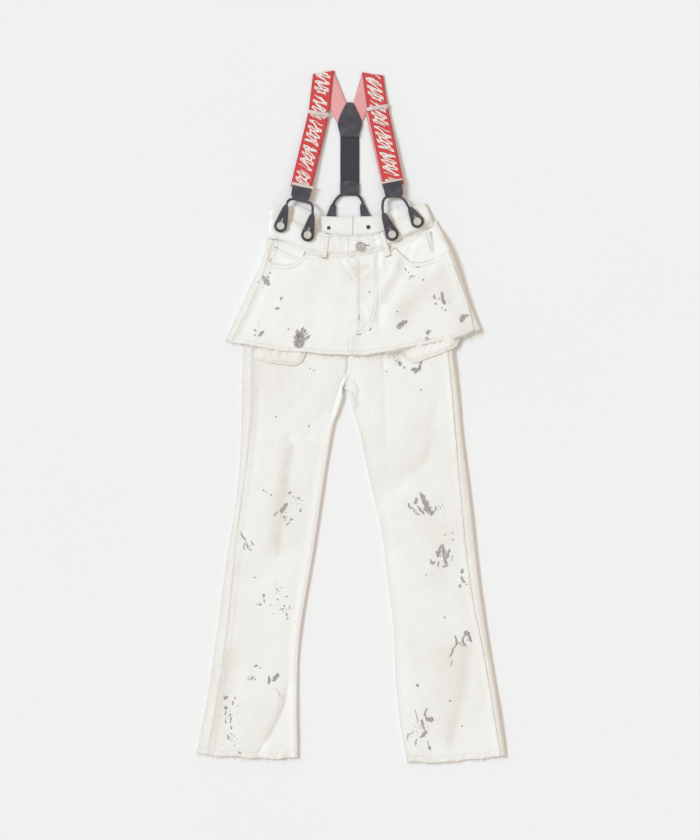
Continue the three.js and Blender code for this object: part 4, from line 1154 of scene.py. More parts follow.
    def top(self, x: np.ndarray, y: np.ndarray) -> np.ndarray:
        """Height of the legs' upper surface, its creases and soft lumps included."""
        lumps = (0.8 * undulation(x, y, 95, 3) + 0.5 * undulation(x, y, 34, 4)
                 + 0.17 * undulation(x, y, 13, 5))
        return self.relief.at(x, y) + 1.25 * creases(self.folds, x, y) + lumps

    def side_lines(self, side: Side) -> tuple[Line, Line]:
        """The outer and the inner line of one leg's front panel."""
        return self.outseam[side], self.inner[side]

    def front_surface(self, side: Side) -> Callable[..., np.ndarray]:
        """The front panel's surface, with its seams, its rolled inner side and its hem."""

        def height(x: np.ndarray, y: np.ndarray, to_left: np.ndarray, to_right: np.ndarray) -> np.ndarray:
            """Height of the cloth at x and y, from the distances to the panel's sides."""
            out = to_left if side is Side.LEFT else to_right
            rolled = self.top(x, y)
            from_edge = np.abs(x - self.inner[side].x_at(y))
            rounding = np.where(y < 56, crown(from_edge + 0.4, RIM[Side(-side.value)]), 1.0)
            floor = 0.5 * rolled
            z = floor + (rolled - floor) * rounding
            z = z + seam(out) + pucker(x, y, out, 8, 0.5, 21)
            if side is Side.LEFT:
                from_inseam = np.abs(x - self.inseam.x_at(y))
                below = 1 - ease(y, 62, 74)
                z = z - (0.35 + 0.9 * ease(y, -60, 55)) * below * np.exp(-((from_inseam / 1.2) ** 2))
            hem = y - self.hem[side].y_at(x)
            ripple = undulation(x, 0 * x + 7, 13, 25) + 0.8 * undulation(x - 0.5 * hem, 0 * x, 5.5, 26)
            return z + 0.5 * (1 - ease(hem, 10, 13)) + 0.9 * ripple * np.exp(-((hem / 10) ** 2)) \
                - 0.5 * np.exp(-(((hem - 11.5) / 1.6) ** 2))

        return height

    def build(self, wardrobe: Wardrobe) -> list[bpy.types.Object]:
        """Builds the four panels.

        Args:
            wardrobe: The garment's materials.

        Returns:
            The panels' objects.
        """
        self.relief = Relief("trousers_front_left", "trousers_front_right", "trousers_back_left",
                             "trousers_back_right")
        pieces = []
        for side in Side:
            front = f"trousers_front_{side.word}"
            back = f"trousers_back_{side.word}"
            lines = self.side_lines(side)
            panel = Panel(front, lines if side is Side.LEFT else lines[::-1],
                          (self.hem[side], self.waist),
                          self.front_surface(side), step=2.6, soil_and_shade=self.soil_and_shade, tone=0.13)
            made = dress(panel.build(), wardrobe.denim, Slot.DENIM, front)
            wrapped = WrappedBack(
                back, side, self.outseam[side], self.outer[side], self.inner[side],
                (48, 60),
                (self.hem[side], self.waist), self.top, lambda x, y: 0.0 * x + 0.05,
                # the outer strips are drawn darker for soil and painted shade, more on the right, away
                # from the lamp
                soil_and_shade=0.4 if side is Side.LEFT else 0.5)
            under = dress(wrapped.build(), wardrobe.denim, Slot.DENIM, back)
            pieces += [made, under]
        return pieces


# ---------------------------------------------------------------- studio


@dataclass
class Studio:
    """A pale floor, soft light from the upper left and a camera straight above."""

    view: tuple[float, float] = (1.295, 1.554)
    centre: tuple[float, float] = (-0.0009, -0.0065)
    distance: float = 7.0

    def build(self) -> None:
        """Makes the camera, the floor and the light."""
        camera = bpy.data.cameras.new("camera")
        camera.sensor_fit = "AUTO"
        camera.lens = camera.sensor_width * self.distance / self.view[1]
        camera.clip_end = 60
        holder = bpy.data.objects.new("camera", camera)
        holder.location = (*self.centre, self.distance)
        bpy.context.scene.collection.objects.link(holder)
        bpy.context.scene.camera = holder
        bm = bmesh.new()
        bmesh.ops.create_grid(bm, x_segments=1, y_segments=1, size=14)
        bmesh.ops.translate(bm, verts=bm.verts[:], vec=(0, 0, -0.0002))
        floor = to_object("floor", bm, smooth=False)
        material, tree, shader = new_material("matt_white_paper")
        place = add_node(tree, "ShaderNodeTexCoord").outputs["Object"]
        tone = blend(tree, grain(tree, place, 700), linear("#F3F3F3"), linear("#F5F5F4"))
        settle(tree, shader, tone, None, 0, Roughness=0.9, Specular_IOR_Level=0.1)
        floor.data.materials.append(material)
        self.lamp("key", 2.06, (-0.70, 0.26, 0.67), 18, "#D4ECFF")
        world = bpy.data.worlds.new("studio")
        world.use_nodes = True
        backdrop = world.node_tree.nodes["Background"]
        backdrop.inputs["Color"].default_value = linear("#FFF1E4")
        backdrop.inputs["Strength"].default_value = 0.685
        bpy.context.scene.world = world
        bpy.context.scene.view_settings.view_transform = "Standard"

    @staticmethod
    def lamp(name: str, strength: float, towards: tuple[float, float, float], spread: float,
             colour: str) -> None:
        """Adds a distant lamp.

        Args:
            name: Its name.
            strength: Its strength in watts per square metre.
            towards: Direction from the garment to the lamp.
            spread: Its width in the sky, in degrees, which softens the shadows.
            colour: Its colour.
        """
        lamp = bpy.data.lights.new(name, "SUN")
        lamp.energy = strength
        lamp.angle = math.radians(spread)
        lamp.color = linear(colour)[:3]
        holder = bpy.data.objects.new(name, lamp)
        holder.rotation_euler = Vector(towards).to_track_quat("Z", "Y").to_euler()
        bpy.context.scene.collection.objects.link(holder)


# ---------------------------------------------------------------- overskirt and pockets


@dataclass
class Overskirt:
    """The top of a second pair of jeans, cut off at the hip and flaring to a raw hem."""

    seam_line: dict[Side, Line] = field(default_factory=lambda: {
        Side.LEFT: Line((-139, 345), (-142, 326), (-147, 308), (-157, 272), (-181, 212), (-218, 139)),
        Side.RIGHT: Line((146, 364), (152, 349), (160, 336), (179, 310), (197, 266), (214, 224),
                         (225, 181), (231, 152)),
    })
    outer: dict[Side, Line] = field(default_factory=lambda: {
        Side.LEFT: Line((-148, 375), (-151, 345), (-155, 325), (-166, 284), (-186, 241), (-210, 188),
                        (-234, 138)),
        Side.RIGHT: Line((147, 391), (155, 371), (175, 330), (193, 293), (219, 216), (243, 158)),
    })
    centre: Line = field(default_factory=lambda: Line(
        (10, 305), (12, 270), (13, 236), (13, 165), (10, 150), (6.5, 143), (5.5, 125), (5.5, 105)))
    centre_back: Line = field(default_factory=lambda: Line((5.5, 380), (5.5, 100)))
    hem: Line = field(default_factory=lambda: Line(
        (-236, 141), (-232, 143), (-213, 136), (-191, 133), (-178, 130), (-144, 124), (-117, 120),
        (-84, 119), (-55, 115.6), (-25, 114), (6, 113.6), (27, 113.6), (48, 117), (72, 121), (100, 127),
        (134, 133), (172, 140.5), (200, 147), (222, 157), (238, 160.5), (246, 161)))
    waist: dict[Side, Line] = field(default_factory=lambda: {
        Side.LEFT: Line((-160, 290), (-146, 284.5), (-124, 281.5), (-108, 284), (-96, 290), (-87.5, 300),
                        (-80, 301.4), (-51, 294.6), (-19, 293.6), (16, 298)),
        Side.RIGHT: Line((2, 296), (21, 298.4), (50, 304.6), (70, 312.6), (80, 313.5), (94, 300.5),
                         (108, 289), (126, 285.5), (146, 290.5), (168, 301), (186, 308)),
    })
    band_back: Line = field(default_factory=lambda: Line(
        (-160, 333), (-140, 327.6), (-110, 329), (0, 331), (80, 337), (150, 352.4), (166, 358)))
    # Lines drawn darker on the fronts: painted shade along the troughs, partly soil.
    soil_and_shade: list[Fold] = field(default_factory=lambda: [
        Fold(Line((94, 280), (96, 262), (78, 240), (66, 214)), 8, 0.4),
        Fold(Line((147, 234), (122, 212), (104, 190)), 22, 0.4),
        Fold(Line((220, 150), (200, 200), (180, 260)), 24, 0.3),
        Fold(Line((0, 262), (20, 276), (40, 262)), 16, 0.3),
    ])
    folds: list[Fold] = field(default_factory=lambda: [
        # the right side, which lifts a little off the table
        Fold(Line((149, 371), (169, 330), (187, 293), (212, 216), (236, 158)), 9, 2.0),
        # the broad trough right of the fly, with its ridges
        Fold(Line((98, 284), (92, 262), (77, 240), (64, 214), (54, 196), (53, 176)), 9, -1.5),
        Fold(Line((84, 286), (76, 262), (60, 240), (44, 214)), 9, 0.8),
        Fold(Line((118, 262), (104, 236), (88, 208), (78, 186)), 13, 0.7),
        Fold(Line((16, 213), (25, 190), (29, 160)), 6, -0.6),
        Fold(Line((147, 234), (122, 212), (104, 190)), 15, -1.1),
        Fold(Line((170, 262), (180, 236), (190, 200)), 11, -0.6),
        Fold(Line((132, 250), (150, 262), (166, 282)), 12, 0.6),
        # the fly's small gathers under the button
        Fold(Line((-17, 286), (-10, 272), (4, 254)), 3.2, -1.0),
        Fold(Line((-8, 288), (-1, 276), (8, 262)), 3.2, 0.6),
        Fold(Line((-10, 268), (-3, 258), (5, 248)), 3.0, 0.6),
        Fold(Line((10, 275), (22, 270), (34, 273)), 3.0, -0.8),
        Fold(Line((6, 287), (16, 281), (30, 283)), 4.0, 0.8),
        Fold(Line((2, 262), (18, 256), (32, 262)), 5.0, 0.5),
        Fold(Line((52, 303), (50, 290), (49, 274)), 3.0, -0.9),
        Fold(Line((60, 300), (59, 288), (62, 272)), 4.0, 0.6),
        # the left front: a pull towards the fly and one towards the hem
        Fold(Line((-38, 292), (-58, 262), (-70, 220), (-68, 170)), 15, -0.5),
        Fold(Line((-120, 240), (-128, 190), (-126, 140)), 18, 0.45),
        Fold(Line((-168, 228), (-184, 190), (-196, 150)), 9, -0.5),
        Fold(Line((-30, 240), (-34, 190), (-30, 130)), 14, 0.4),
    ])

    def top(self, x: np.ndarray, y: np.ndarray) -> np.ndarray:
        """Height of the skirt's upper surface, its creases and soft lumps included."""
        lumps = (0.7 * undulation(x, y, 80, 13) + 0.5 * undulation(x, y, 30, 14)
                 + 0.18 * undulation(x, y, 12, 15))
        return self.relief.at(x, y) + 0.5 + 1.25 * creases(self.folds, x, y) + lumps

    def hem_wave(self, x: np.ndarray, from_hem: np.ndarray) -> np.ndarray:
        """How the raw edge curls and flutters, from the distance to it."""
        flutter = undulation(x, 0 * x + 3, 17, 31) + 0.6 * undulation(x, 0 * x + 9, 7, 32)
        return 0.55 * flutter * np.exp(-((from_hem / 9) ** 2))

    def front_surface(self, side: Side) -> Callable[..., np.ndarray]:
        """One front's surface, with its side seam, scoop, fly and raw hem."""

        def height(x: np.ndarray, y: np.ndarray, to_left: np.ndarray, to_right: np.ndarray) -> np.ndarray:
            """Height of the cloth at x and y, from the distances to the panel's sides."""
            out, inward = (to_left, to_right) if side is Side.LEFT else (to_right, to_left)
            z = self.top(x, y) + seam(out) + pucker(x, y, out, 8, 0.45, 41)
            z = z + pucker(x, y, inward, 12, 0.35, 43)
            if side is Side.RIGHT:
                z = z + 0.45 * (1 - ease(inward, 34, 38)) * ease(y, 128, 150)
            else:
                z = z - 1.3 * (1 - ease(inward, 5.2, 6.6))
            from_top = self.waist[side].y_at(x) - y
            z = z + 0.5 * (1 - ease(from_top, 9, 12)) + pucker(x, y, from_top, 8, 0.5, 45)
            return z + self.hem_wave(x, y - self.hem.y_at(x))

        return height

    def build(self, wardrobe: Wardrobe) -> list[bpy.types.Object]:
        """Builds the two fronts and the two backs.

        Args:
            wardrobe: The garment's materials.

        Returns:
            The panels' objects.
        """
        self.relief = Relief("skirt_front_left", "skirt_front_right", "skirt_back_left",
                             "skirt_back_right",
                             "pocket_facing_left", "pocket_facing_right", "coin_pocket", soften=5)
        pieces = []
        for side in Side:
            front, back = f"skirt_front_{side.word}", f"skirt_back_{side.word}"
            lapped = Line(*(self.centre.samples[::10] + (6.0, 0.0)))
            sides = (self.seam_line[side], lapped if side is Side.LEFT else self.centre)
            panel = Panel(front, sides if side is Side.LEFT else sides[::-1],
                          (self.hem, self.waist[side]),
                          self.front_surface(side), step=1.8, soil_and_shade=self.soil_and_shade)
            made = dress(panel.build(), wardrobe.denim, Slot.DENIM, front)
            f"trousers_front_{side.word}"
            wrapped = WrappedBack(
                back, side, self.seam_line[side], self.outer[side], self.centre_back, (1, 2),
                (self.hem, self.band_back), lambda x, y: self.top(x, y) + 0.3 * self.hem_wave(
                    x, y - self.hem.y_at(x)), lambda x, y: 0.05 + 0 * x, step=2.6,
                # the outer strips are drawn darker for soil and painted shade, more on the right, away
                # from the lamp
                soil_and_shade=0.35 if side is Side.LEFT else 0.5, gather=(0.45, 41))
            under = dress(wrapped.build(), wardrobe.denim, Slot.DENIM, back)
            pieces += [made, under]
        return pieces


@dataclass
class Pockets:
    """The overskirt's front pockets: bags that hang below its hem, facings and the coin pocket."""

    bag_sides: dict[Side, tuple[Line, Line]] = field(default_factory=lambda: {
        Side.LEFT: (Line((-178, 104), (-176, 130), (-172, 190), (-146, 280)),
                    Line((-100, 93), (-90, 99), (-84, 110), (-81, 124), (-80, 200), (-80, 280))),
        Side.RIGHT: (Line((114, 97), (106, 105), (98, 113), (90, 122), (84, 150), (75, 280)),
                     Line((184, 121), (194, 126), (200, 136), (202, 150), (190, 200), (160, 280))),
    })
    bag_ends: dict[Side, tuple[Line, Line]] = field(default_factory=lambda: {
        Side.LEFT: (Line((-179, 106), (-171, 104), (-156, 100), (-140, 97), (-120, 94.5), (-106, 93.6),
                         (-97, 95), (-90, 100), (-80, 108)),
                    Line((-160, 276), (-80, 276))),
        Side.RIGHT: (Line((84, 124), (98, 112), (110, 101), (121, 98.6), (140, 105.4), (160, 112.8),
                          (180, 120.6), (192, 126), (204, 136)),
                     Line((70, 276), (170, 276))),
    })
    bag_folds: dict[Side, list[Fold]] = field(default_factory=lambda: {
        Side.LEFT: [
            Fold(Line((-144, 124), (-146, 116), (-143, 110)), 2.6, -0.7),
            Fold(Line((-126, 124), (-128, 114), (-131, 108)), 2.6, -0.7),
            Fold(Line((-135, 126), (-136, 112)), 4, 0.35),
            Fold(Line((-172, 112), (-150, 106), (-128, 103), (-108, 101)), 3, 0.5),
        ],
        Side.RIGHT: [
            Fold(Line((141, 132), (140, 124), (139, 116)), 2.8, -0.7),
            Fold(Line((154, 136), (153, 128), (150, 121)), 2.8, -0.7),
            Fold(Line((147, 134), (146, 122)), 3.5, 0.35),
            Fold(Line((100, 112), (120, 112), (140, 116)), 3, 0.5),
        ],
    })
    facing: dict[Side, tuple[tuple[Line, Line], tuple[Line, Line]]] = field(default_factory=lambda: {
        Side.LEFT: ((Line((-165, 250), (-155, 290), (-145, 340)), Line((-76, 250), (-76, 320))),
                    (Line((-160, 268), (-70, 262)),
                     Line((-158, 342), (-121, 325), (-82, 308), (-60, 302)))),
        Side.RIGHT: ((Line((74, 250), (74, 330)), Line((196, 250), (188, 300), (158, 362))),
                     (Line((60, 268), (190, 268)),
                      Line((60, 312), (92, 329), (121, 344), (150, 359), (180, 372)))),
    })
    coin: tuple[tuple[Line, Line], tuple[Line, Line]] = field(default_factory=lambda: (
        (Line((-141, 262), (-141, 330)), Line((-93, 262), (-93, 310))),
        (Line((-150, 266), (-85, 266)), Line((-150, 318), (-141, 313.6), (-118, 303.4), (-97, 295),
                                             (-85, 291)))))
    facing_folds: dict[Side, list[Fold]] = field(default_factory=lambda: {
        Side.LEFT: [Fold(Line((-130, 300), (-110, 292), (-96, 290)), 4, 0.5)],
        Side.RIGHT: [
            Fold(Line((80, 316), (90, 306), (99, 297), (108, 288)), 4.0, -1.8),
            Fold(Line((104, 288), (109, 304), (112, 318), (118, 331)), 4.5, -0.8),
            Fold(Line((114, 288), (120, 304), (124, 320)), 8, 0.4),
            Fold(Line((136, 296), (146, 316), (152, 336)), 8, 0.3),
        ],
    })

    def build(self, wardrobe: Wardrobe, trousers: Trousers, skirt: Overskirt) -> list[bpy.types.Object]:
        """Builds the bags, the facings and the coin pocket.

        Args:
            wardrobe: The garment's materials.
            trousers: The legs, on which the bags lie.
            skirt: The overskirt, under whose fronts the facings lie.

        Returns:
            The pieces.
        """
        pieces = []
        for side in Side:
            name = f"pocket_bag_{side.word}"
            bag = Panel(name, self.bag_sides[side], self.bag_ends[side], self.bag_surface(side, trousers),
                        step=2.4, margin=7)
            made = dress(bag.build(), wardrobe.pocketing, Slot.POCKETING, name)
            f"trousers_front_{side.word}"
            name = f"pocket_facing_{side.word}"
            folds = self.facing_folds[side]
            depth = -0.7 if side is Side.LEFT else -0.35
            facing = Panel(name, *self.facing[side], self.facing_surface(skirt, folds, depth), step=2.6)
            backing = dress(facing.build(), wardrobe.denim, Slot.DENIM, name)
            f"pocket_bag_{side.word}"
            pieces += [made, backing]
        coin = Panel("coin_pocket", *self.coin,
                     self.facing_surface(skirt, self.facing_folds[Side.LEFT], -0.2),
                     step=2.6, thickness=0.7)
        made = dress(coin.build(), wardrobe.denim, Slot.DENIM, "coin_pocket")
        return [*pieces, made]

    def bag_surface(self, side: Side, trousers: Trousers) -> Callable[..., np.ndarray]:
        """A bag's surface: two limp plies on the leg, full in the middle and thin at the sewn edge."""
        low, _ = self.bag_ends[side]

        def height(x: np.ndarray, y: np.ndarray, to_left: np.ndarray, to_right: np.ndarray) -> np.ndarray:
            """Height of the cloth at x and y, from the distances to the bag's sides."""
            edge = np.minimum(np.minimum(to_left, to_right), y - low.y_at(x))
            full = 1.0 * crown(edge * 0.55) + 0.7 * ease(edge, 3, 14)
            lumps = 0.3 * undulation(x, y, 14, 51) + 0.2 * undulation(x, y, 7, 52)
            groove = -0.35 * np.exp(-(((edge - 6) / 1.3) ** 2))
            return (trousers.top(x, y) + 1.2 + (full + groove + lumps * ease(edge, 0, 8)
                    + creases(self.bag_folds[side], x, y)) * (1 - 0.8 * ease(y, 136, 160)))

        return height

    @staticmethod
    def facing_surface(skirt: Overskirt, folds: list[Fold], drop: float) -> Callable[..., np.ndarray]:
        """The surface of what lies in a pocket opening, a set depth below the skirt's front."""

        def height(x: np.ndarray, y: np.ndarray, to_left: np.ndarray, to_right: np.ndarray) -> np.ndarray:
            """Height of the cloth at x and y."""
            return skirt.top(x, y) + drop + creases(folds, x, y) + 0 * to_left

        return height


# ---------------------------------------------------------------- waistband


@dataclass
class Waistband:
    """The overskirt's waistband in two halves, each from the fly round its side to the centre back, with
    belt loops; its jeans button is made by JeansButton."""

    top_front: Line = field(default_factory=lambda: Line(
        (-152, 380), (-145, 376), (-130, 370), (-114, 365), (-88, 356.5), (-60, 344), (-40, 339),
        (-19, 337),
        (10, 333.4), (36, 335.5), (51, 339), (69, 352), (88, 366), (114, 377), (130, 384), (147, 392),
        (156, 396)))
    low_front: Line = field(default_factory=lambda: Line(
        (-156, 336), (-146, 331), (-121, 319), (-82, 302), (-51, 295), (-19, 294), (10, 297), (34, 300),
        (64, 309), (92, 323), (121, 338), (150, 353), (166, 361)))
    top_back: Line = field(default_factory=lambda: Line(
        (-152, 384), (-140, 387), (-93, 388), (-62, 372), (-40, 369.6), (-1, 369), (51, 371), (73, 380),
        (99, 388), (145, 393), (156, 395)))
    low_back: Line = field(default_factory=lambda: Line(
        (-156, 333), (-140, 328), (-110, 329), (0, 331), (80, 337), (150, 352.4), (166, 360)))
    split_front: float = -3.0
    split_back: float = 5.5
    folds: list[Fold] = field(default_factory=lambda: [
        Fold(Line((-135, 352), (-118, 346), (-100, 338), (-86, 326)), 6, -0.6),
        Fold(Line((-128, 334), (-108, 326), (-90, 316)), 4, 0.5),
        Fold(Line((-70, 330), (-64, 316), (-62, 302)), 6, -0.5),
        Fold(Line((34, 330), (42, 318), (46, 306)), 4, -0.8),
        Fold(Line((43, 336), (46, 326), (50, 310)), 2.6, -1.3),
        Fold(Line((49, 334), (54, 324), (58, 310)), 3.6, 0.6),
        Fold(Line((-32, 330), (-26, 316), (-30, 302)), 3.4, -0.7),
        Fold(Line((-118, 350), (-104, 340), (-92, 336)), 3.0, -0.8),
        Fold(Line((-140, 346), (-126, 338), (-112, 334)), 3.4, -0.8),
        Fold(Line((96, 352), (112, 350), (126, 354)), 3.4, -0.8),
        Fold(Line((104, 338), (118, 346), (134, 360)), 4.0, 0.6),
        Fold(Line((26, 308), (38, 306), (50, 310)), 4, -0.7),
        Fold(Line((30, 322), (40, 326), (50, 333)), 3, 0.5),
        Fold(Line((80, 350), (92, 340), (104, 330)), 8, -0.6),
        Fold(Line((120, 370), (132, 362), (140, 352)), 7, 0.6),
        Fold(Line((-14, 330), (-12, 314), (-16, 300)), 7, -0.4),
    ])
    back_folds: list[Fold] = field(default_factory=lambda: [
        Fold(Line((-104, 392), (-107, 382), (-110, 372)), 4.5, -3.6),
        Fold(Line((-62, 372), (-58, 362), (-56, 350)), 4.2, -3.4),
        Fold(Line((78, 384), (78, 374), (76, 362)), 4.5, -3.6),
        Fold(Line((-52, 360), (-30, 352), (0, 350)), 6, 0.8),
        Fold(Line((10, 366), (16, 356), (30, 350)), 4, -1.0),
        Fold(Line((30, 364), (46, 358), (64, 362)), 5, 0.7),
        Fold(Line((-96, 382), (-112, 380), (-130, 378)), 3.5, -0.9),
        Fold(Line((96, 384), (116, 388), (136, 388)), 4, -0.9),
    ])
    loops: dict[Side, tuple[Place, Place, Place, Place]] = field(default_factory=lambda: {
        Side.LEFT: ((-46.5, 339.5), (-37.5, 339), (-44.5, 292), (-53.5, 292)),
        Side.RIGHT: ((51, 339.5), (60.5, 345), (76, 297), (64, 293)),
    })

    def top(self, x: np.ndarray, y: np.ndarray) -> np.ndarray:
        """Height of the front's outer surface."""
        lumps = 0.6 * undulation(x, y, 46, 61) + 0.45 * undulation(x, y, 17, 62)
        return self.relief.at(x, y) - 0.9 + 1.3 * creases(self.folds, x, y) + lumps

    def half(self, side: Side) -> bpy.types.Object:
        """One half: the front, the fold at the side and the inside of the back, as one strip."""
        sign = side.value
        turn_x = -150.0 if side is Side.LEFT else 152.0
        front = np.concatenate([np.linspace(self.split_front, turn_x - sign * 6, 58),
                                [turn_x - sign * 3]])
        back = np.concatenate([[turn_x - sign * 3], np.linspace(turn_x - sign * 6, self.split_back, 46)])
        across = np.concatenate([front, [turn_x - sign * 0.8, turn_x, turn_x - sign * 0.8], back])
        count = len(front)
        on_front = np.zeros(len(across))
        on_front[:count] = 1
        on_front[count : count + 3] = [0.8, 0.5, 0.2]
        on_front = on_front[:, None]
        height = np.concatenate([[0, 0.015, 0.04, 0.08], np.linspace(0.12, 0.88, 12),
                                 [0.92, 0.96, 0.985, 1]])[None, :]
        x = across[:, None] + 0 * height
        low = self.low_front.y_at(x) * on_front + self.low_back.y_at(x) * (1 - on_front)
        high = self.top_front.y_at(x) * on_front + self.top_back.y_at(x) * (1 - on_front)
        y = low + (high - low) * height
        slant = (-0.115 if side is Side.LEFT else -0.42) * sign
        middle = 362 if side is Side.RIGHT else 352
        shift = sign * ease(np.abs(x), 90, 150) * slant * sign * (y - middle)
        x = x + shift
        edge = np.minimum(y - low, high - y)
        rounding = 0.7 * (1 - crown(edge * 1.6))
        ridge = 0.28 * np.exp(-((edge / 3.2) ** 2)) - 0.3 * np.exp(-(((edge - 5) / 1.5) ** 2))
        seated = 1 - ease(y - low, 1.5, 11)
        upper = self.top(x, y) * (1 - seated) + (self.skirt.top(x, y) + 0.35) * seated
        upper = upper + ridge + pucker(x, y, edge, 12, 0.8, 65) - rounding
        inside = self.under.at(x, y) + 0.5 * undulation(x, y, 24, 66) + creases(self.back_folds, x,
                                                                                y) + ridge \
            + pucker(x, y, edge, 8, 0.4, 67) - rounding
        if side is Side.RIGHT:
            upper = upper + 0.9 * (1 - ease(x, 30, 44)) * ease(x, -4, -2)
        z = upper * on_front + inside * (1 - on_front)
        points = np.stack([x, y, z], axis=-1)
        reach = np.abs(across[:, None] - self.split_front) * np.where(on_front > 0.5, 1, -1) + 0 * height
        piece = grid_piece(f"waistband_{side.word}", points, weave=np.stack([reach, y], axis=-1))
        mark_wear_and_painted_light(piece, 0.2 * np.exp(-((edge / 2) ** 2)) + 0.25 * np.exp(-((edge / 9) ** 2)) + 0.06)
        bm = bmesh.new()
        bm.from_mesh(piece.data)
        bmesh.ops.recalc_face_normals(bm, faces=bm.faces[:])
        upward = sum(face.normal.z * face.calc_area() for face in bm.faces
                     if face.calc_center_median().z > 0.009)
        if upward < 0:
            bmesh.ops.reverse_faces(bm, faces=bm.faces[:])
        bm.to_mesh(piece.data)
        bm.free()
        return piece

    def belt_loop(self, side: Side) -> bpy.types.Object:
        """A folded strip of denim over the band, tacked at both ends and bowed between them."""
        (ax, ay), (bx, by), (cx, cy), (dx, dy) = self.loops[side]
        across = np.linspace(0, 1, 9)[None, :]
        along = np.linspace(0, 1, 34)[:, None]
        x = (dx * (1 - across) + cx * across) * (1 - along) + (ax * (1 - across) + bx * across) * along
        y = (dy * (1 - across) + cy * across) * (1 - along) + (ay * (1 - across) + by * across) * along
        bow = 0.35 * np.sin(np.pi * np.clip((along - 0.08) / 0.84, 0, 1))
        rounded = 0.9 * crown(np.minimum(across, 1 - across) * 26)
        ribs = 0.18 * np.cos(2 * np.pi * across * 2)
        z = self.top(x, y) + 0.1 + bow + 0.75 * rounded + ribs + 0.15 * undulation(x, y, 6, 68)
        piece = grid_piece(f"belt_loop_{side.word}", np.stack([x, y, z], axis=-1))
        mark_wear_and_painted_light(piece, 0.5 * np.exp(-((np.minimum(across, 1 - across) / 0.12) ** 2)) + 0 * along)
        return thicken(piece, 1.3)

    def build(self, wardrobe: Wardrobe, skirt: Overskirt) -> list[bpy.types.Object]:
        """Builds the halves and the loops.

        Args:
            wardrobe: The garment's materials.
            skirt: The overskirt, on whose upper edge the band is sewn.

        Returns:
            The cloth pieces.
        """
        self.skirt = skirt
        self.relief = Relief("waistband_left", "waistband_right", soften=3)
        self.under = Relief("back_button_tab_left", "back_button_tab_right", soften=3)
        self.under.heights = 2.6 + 0.45 * self.under.heights
        pieces = []
        for side in Side:
            name = f"waistband_{side.word}"
            band = thicken(self.half(side), BAND)
            made = dress(band, wardrobe.denim, Slot.DENIM, name)
            f"skirt_front_{side.word}"
            f"skirt_back_{side.word}"
            pieces.append(made)
            loop = self.belt_loop(side)
            pieces.append(dress(loop, wardrobe.denim, Slot.DENIM, f"belt_loop_{side.word}"))
        return pieces


# ---------------------------------------------------------------- suspenders


def turned(points: np.ndarray, centre: Place, turn: float) -> np.ndarray:
    """Turns points drawn about their own origin and moves them to a centre, in millimetres."""
    c, s = math.cos(turn), math.sin(turn)
    out = points.copy()
    out[..., 0] = centre[0] + c * points[..., 0] - s * points[..., 1]
    out[..., 1] = centre[1] + s * points[..., 0] + c * points[..., 1]
    return out


def heading(start: Place, end: Place) -> float:
    """Turn that carries +Y to the way from one place to another."""
    return math.atan2(end[1] - start[1], end[0] - start[0]) - math.pi / 2


def finish_bmesh(name: str, bm: bmesh.types.BMesh, centre: Place, z: float,
                 turn: float = 0.0) -> bpy.types.Object:
    """Scales a bmesh drawn in millimetres, turns and places it, and makes it an object."""
    place = Matrix.Translation((centre[0] * MM, centre[1] * MM, z * MM)) @ Matrix.Rotation(turn, 4, "Z")
    bmesh.ops.transform(bm, matrix=place @ Matrix.Scale(MM, 4), verts=bm.verts[:])
    bmesh.ops.recalc_face_normals(bm, faces=bm.faces[:])
    return to_object(name, bm)


def spun(name: str, profile: Sequence[Place], centre: Place, z: float,
         steps: int = 40) -> bpy.types.Object:
    """A turned piece: a profile of radius and height spun about a standing axis."""
    bm = bmesh.new()
    line = [bm.verts.new((r, 0, h)) for r, h in profile]
    for a, b in zip(line, line[1:]):
        bm.edges.new((a, b))
    bmesh.ops.spin(bm, geom=bm.verts[:] + bm.edges[:], cent=(0, 0, 0), axis=(0, 0, 1), angle=2 * math.pi,
                   steps=steps, use_merge=True)
    bmesh.ops.remove_doubles(bm, verts=bm.verts[:], dist=0.001)
    return finish_bmesh(name, bm, centre, z)


@dataclass(frozen=True)
class StrapPlan:
    """One front strap: places of its lower end, slider and fold, and its end under the yoke."""

    side: Side
    end: Place
    slider: Place
    fold: Place
    fold_turn: float
    yoke: tuple[Place, Place]
    shift: float
    bar: float
    leather: Place

    @property
    def lower(self) -> float:
        """Heading of the strap below the slider."""
        return heading(self.end, self.slider)

    @property
    def upper(self) -> float:
        """Heading of the strap above the slider."""
        return heading(self.slider, self.fold)

    @property
    def leather_top(self) -> Place:
        """Middle of the leather end's upper edge."""
        reach = self.leather[1] - 7
        return (self.end[0] - math.sin(self.lower) * reach, self.end[1] + math.cos(self.lower) * reach)


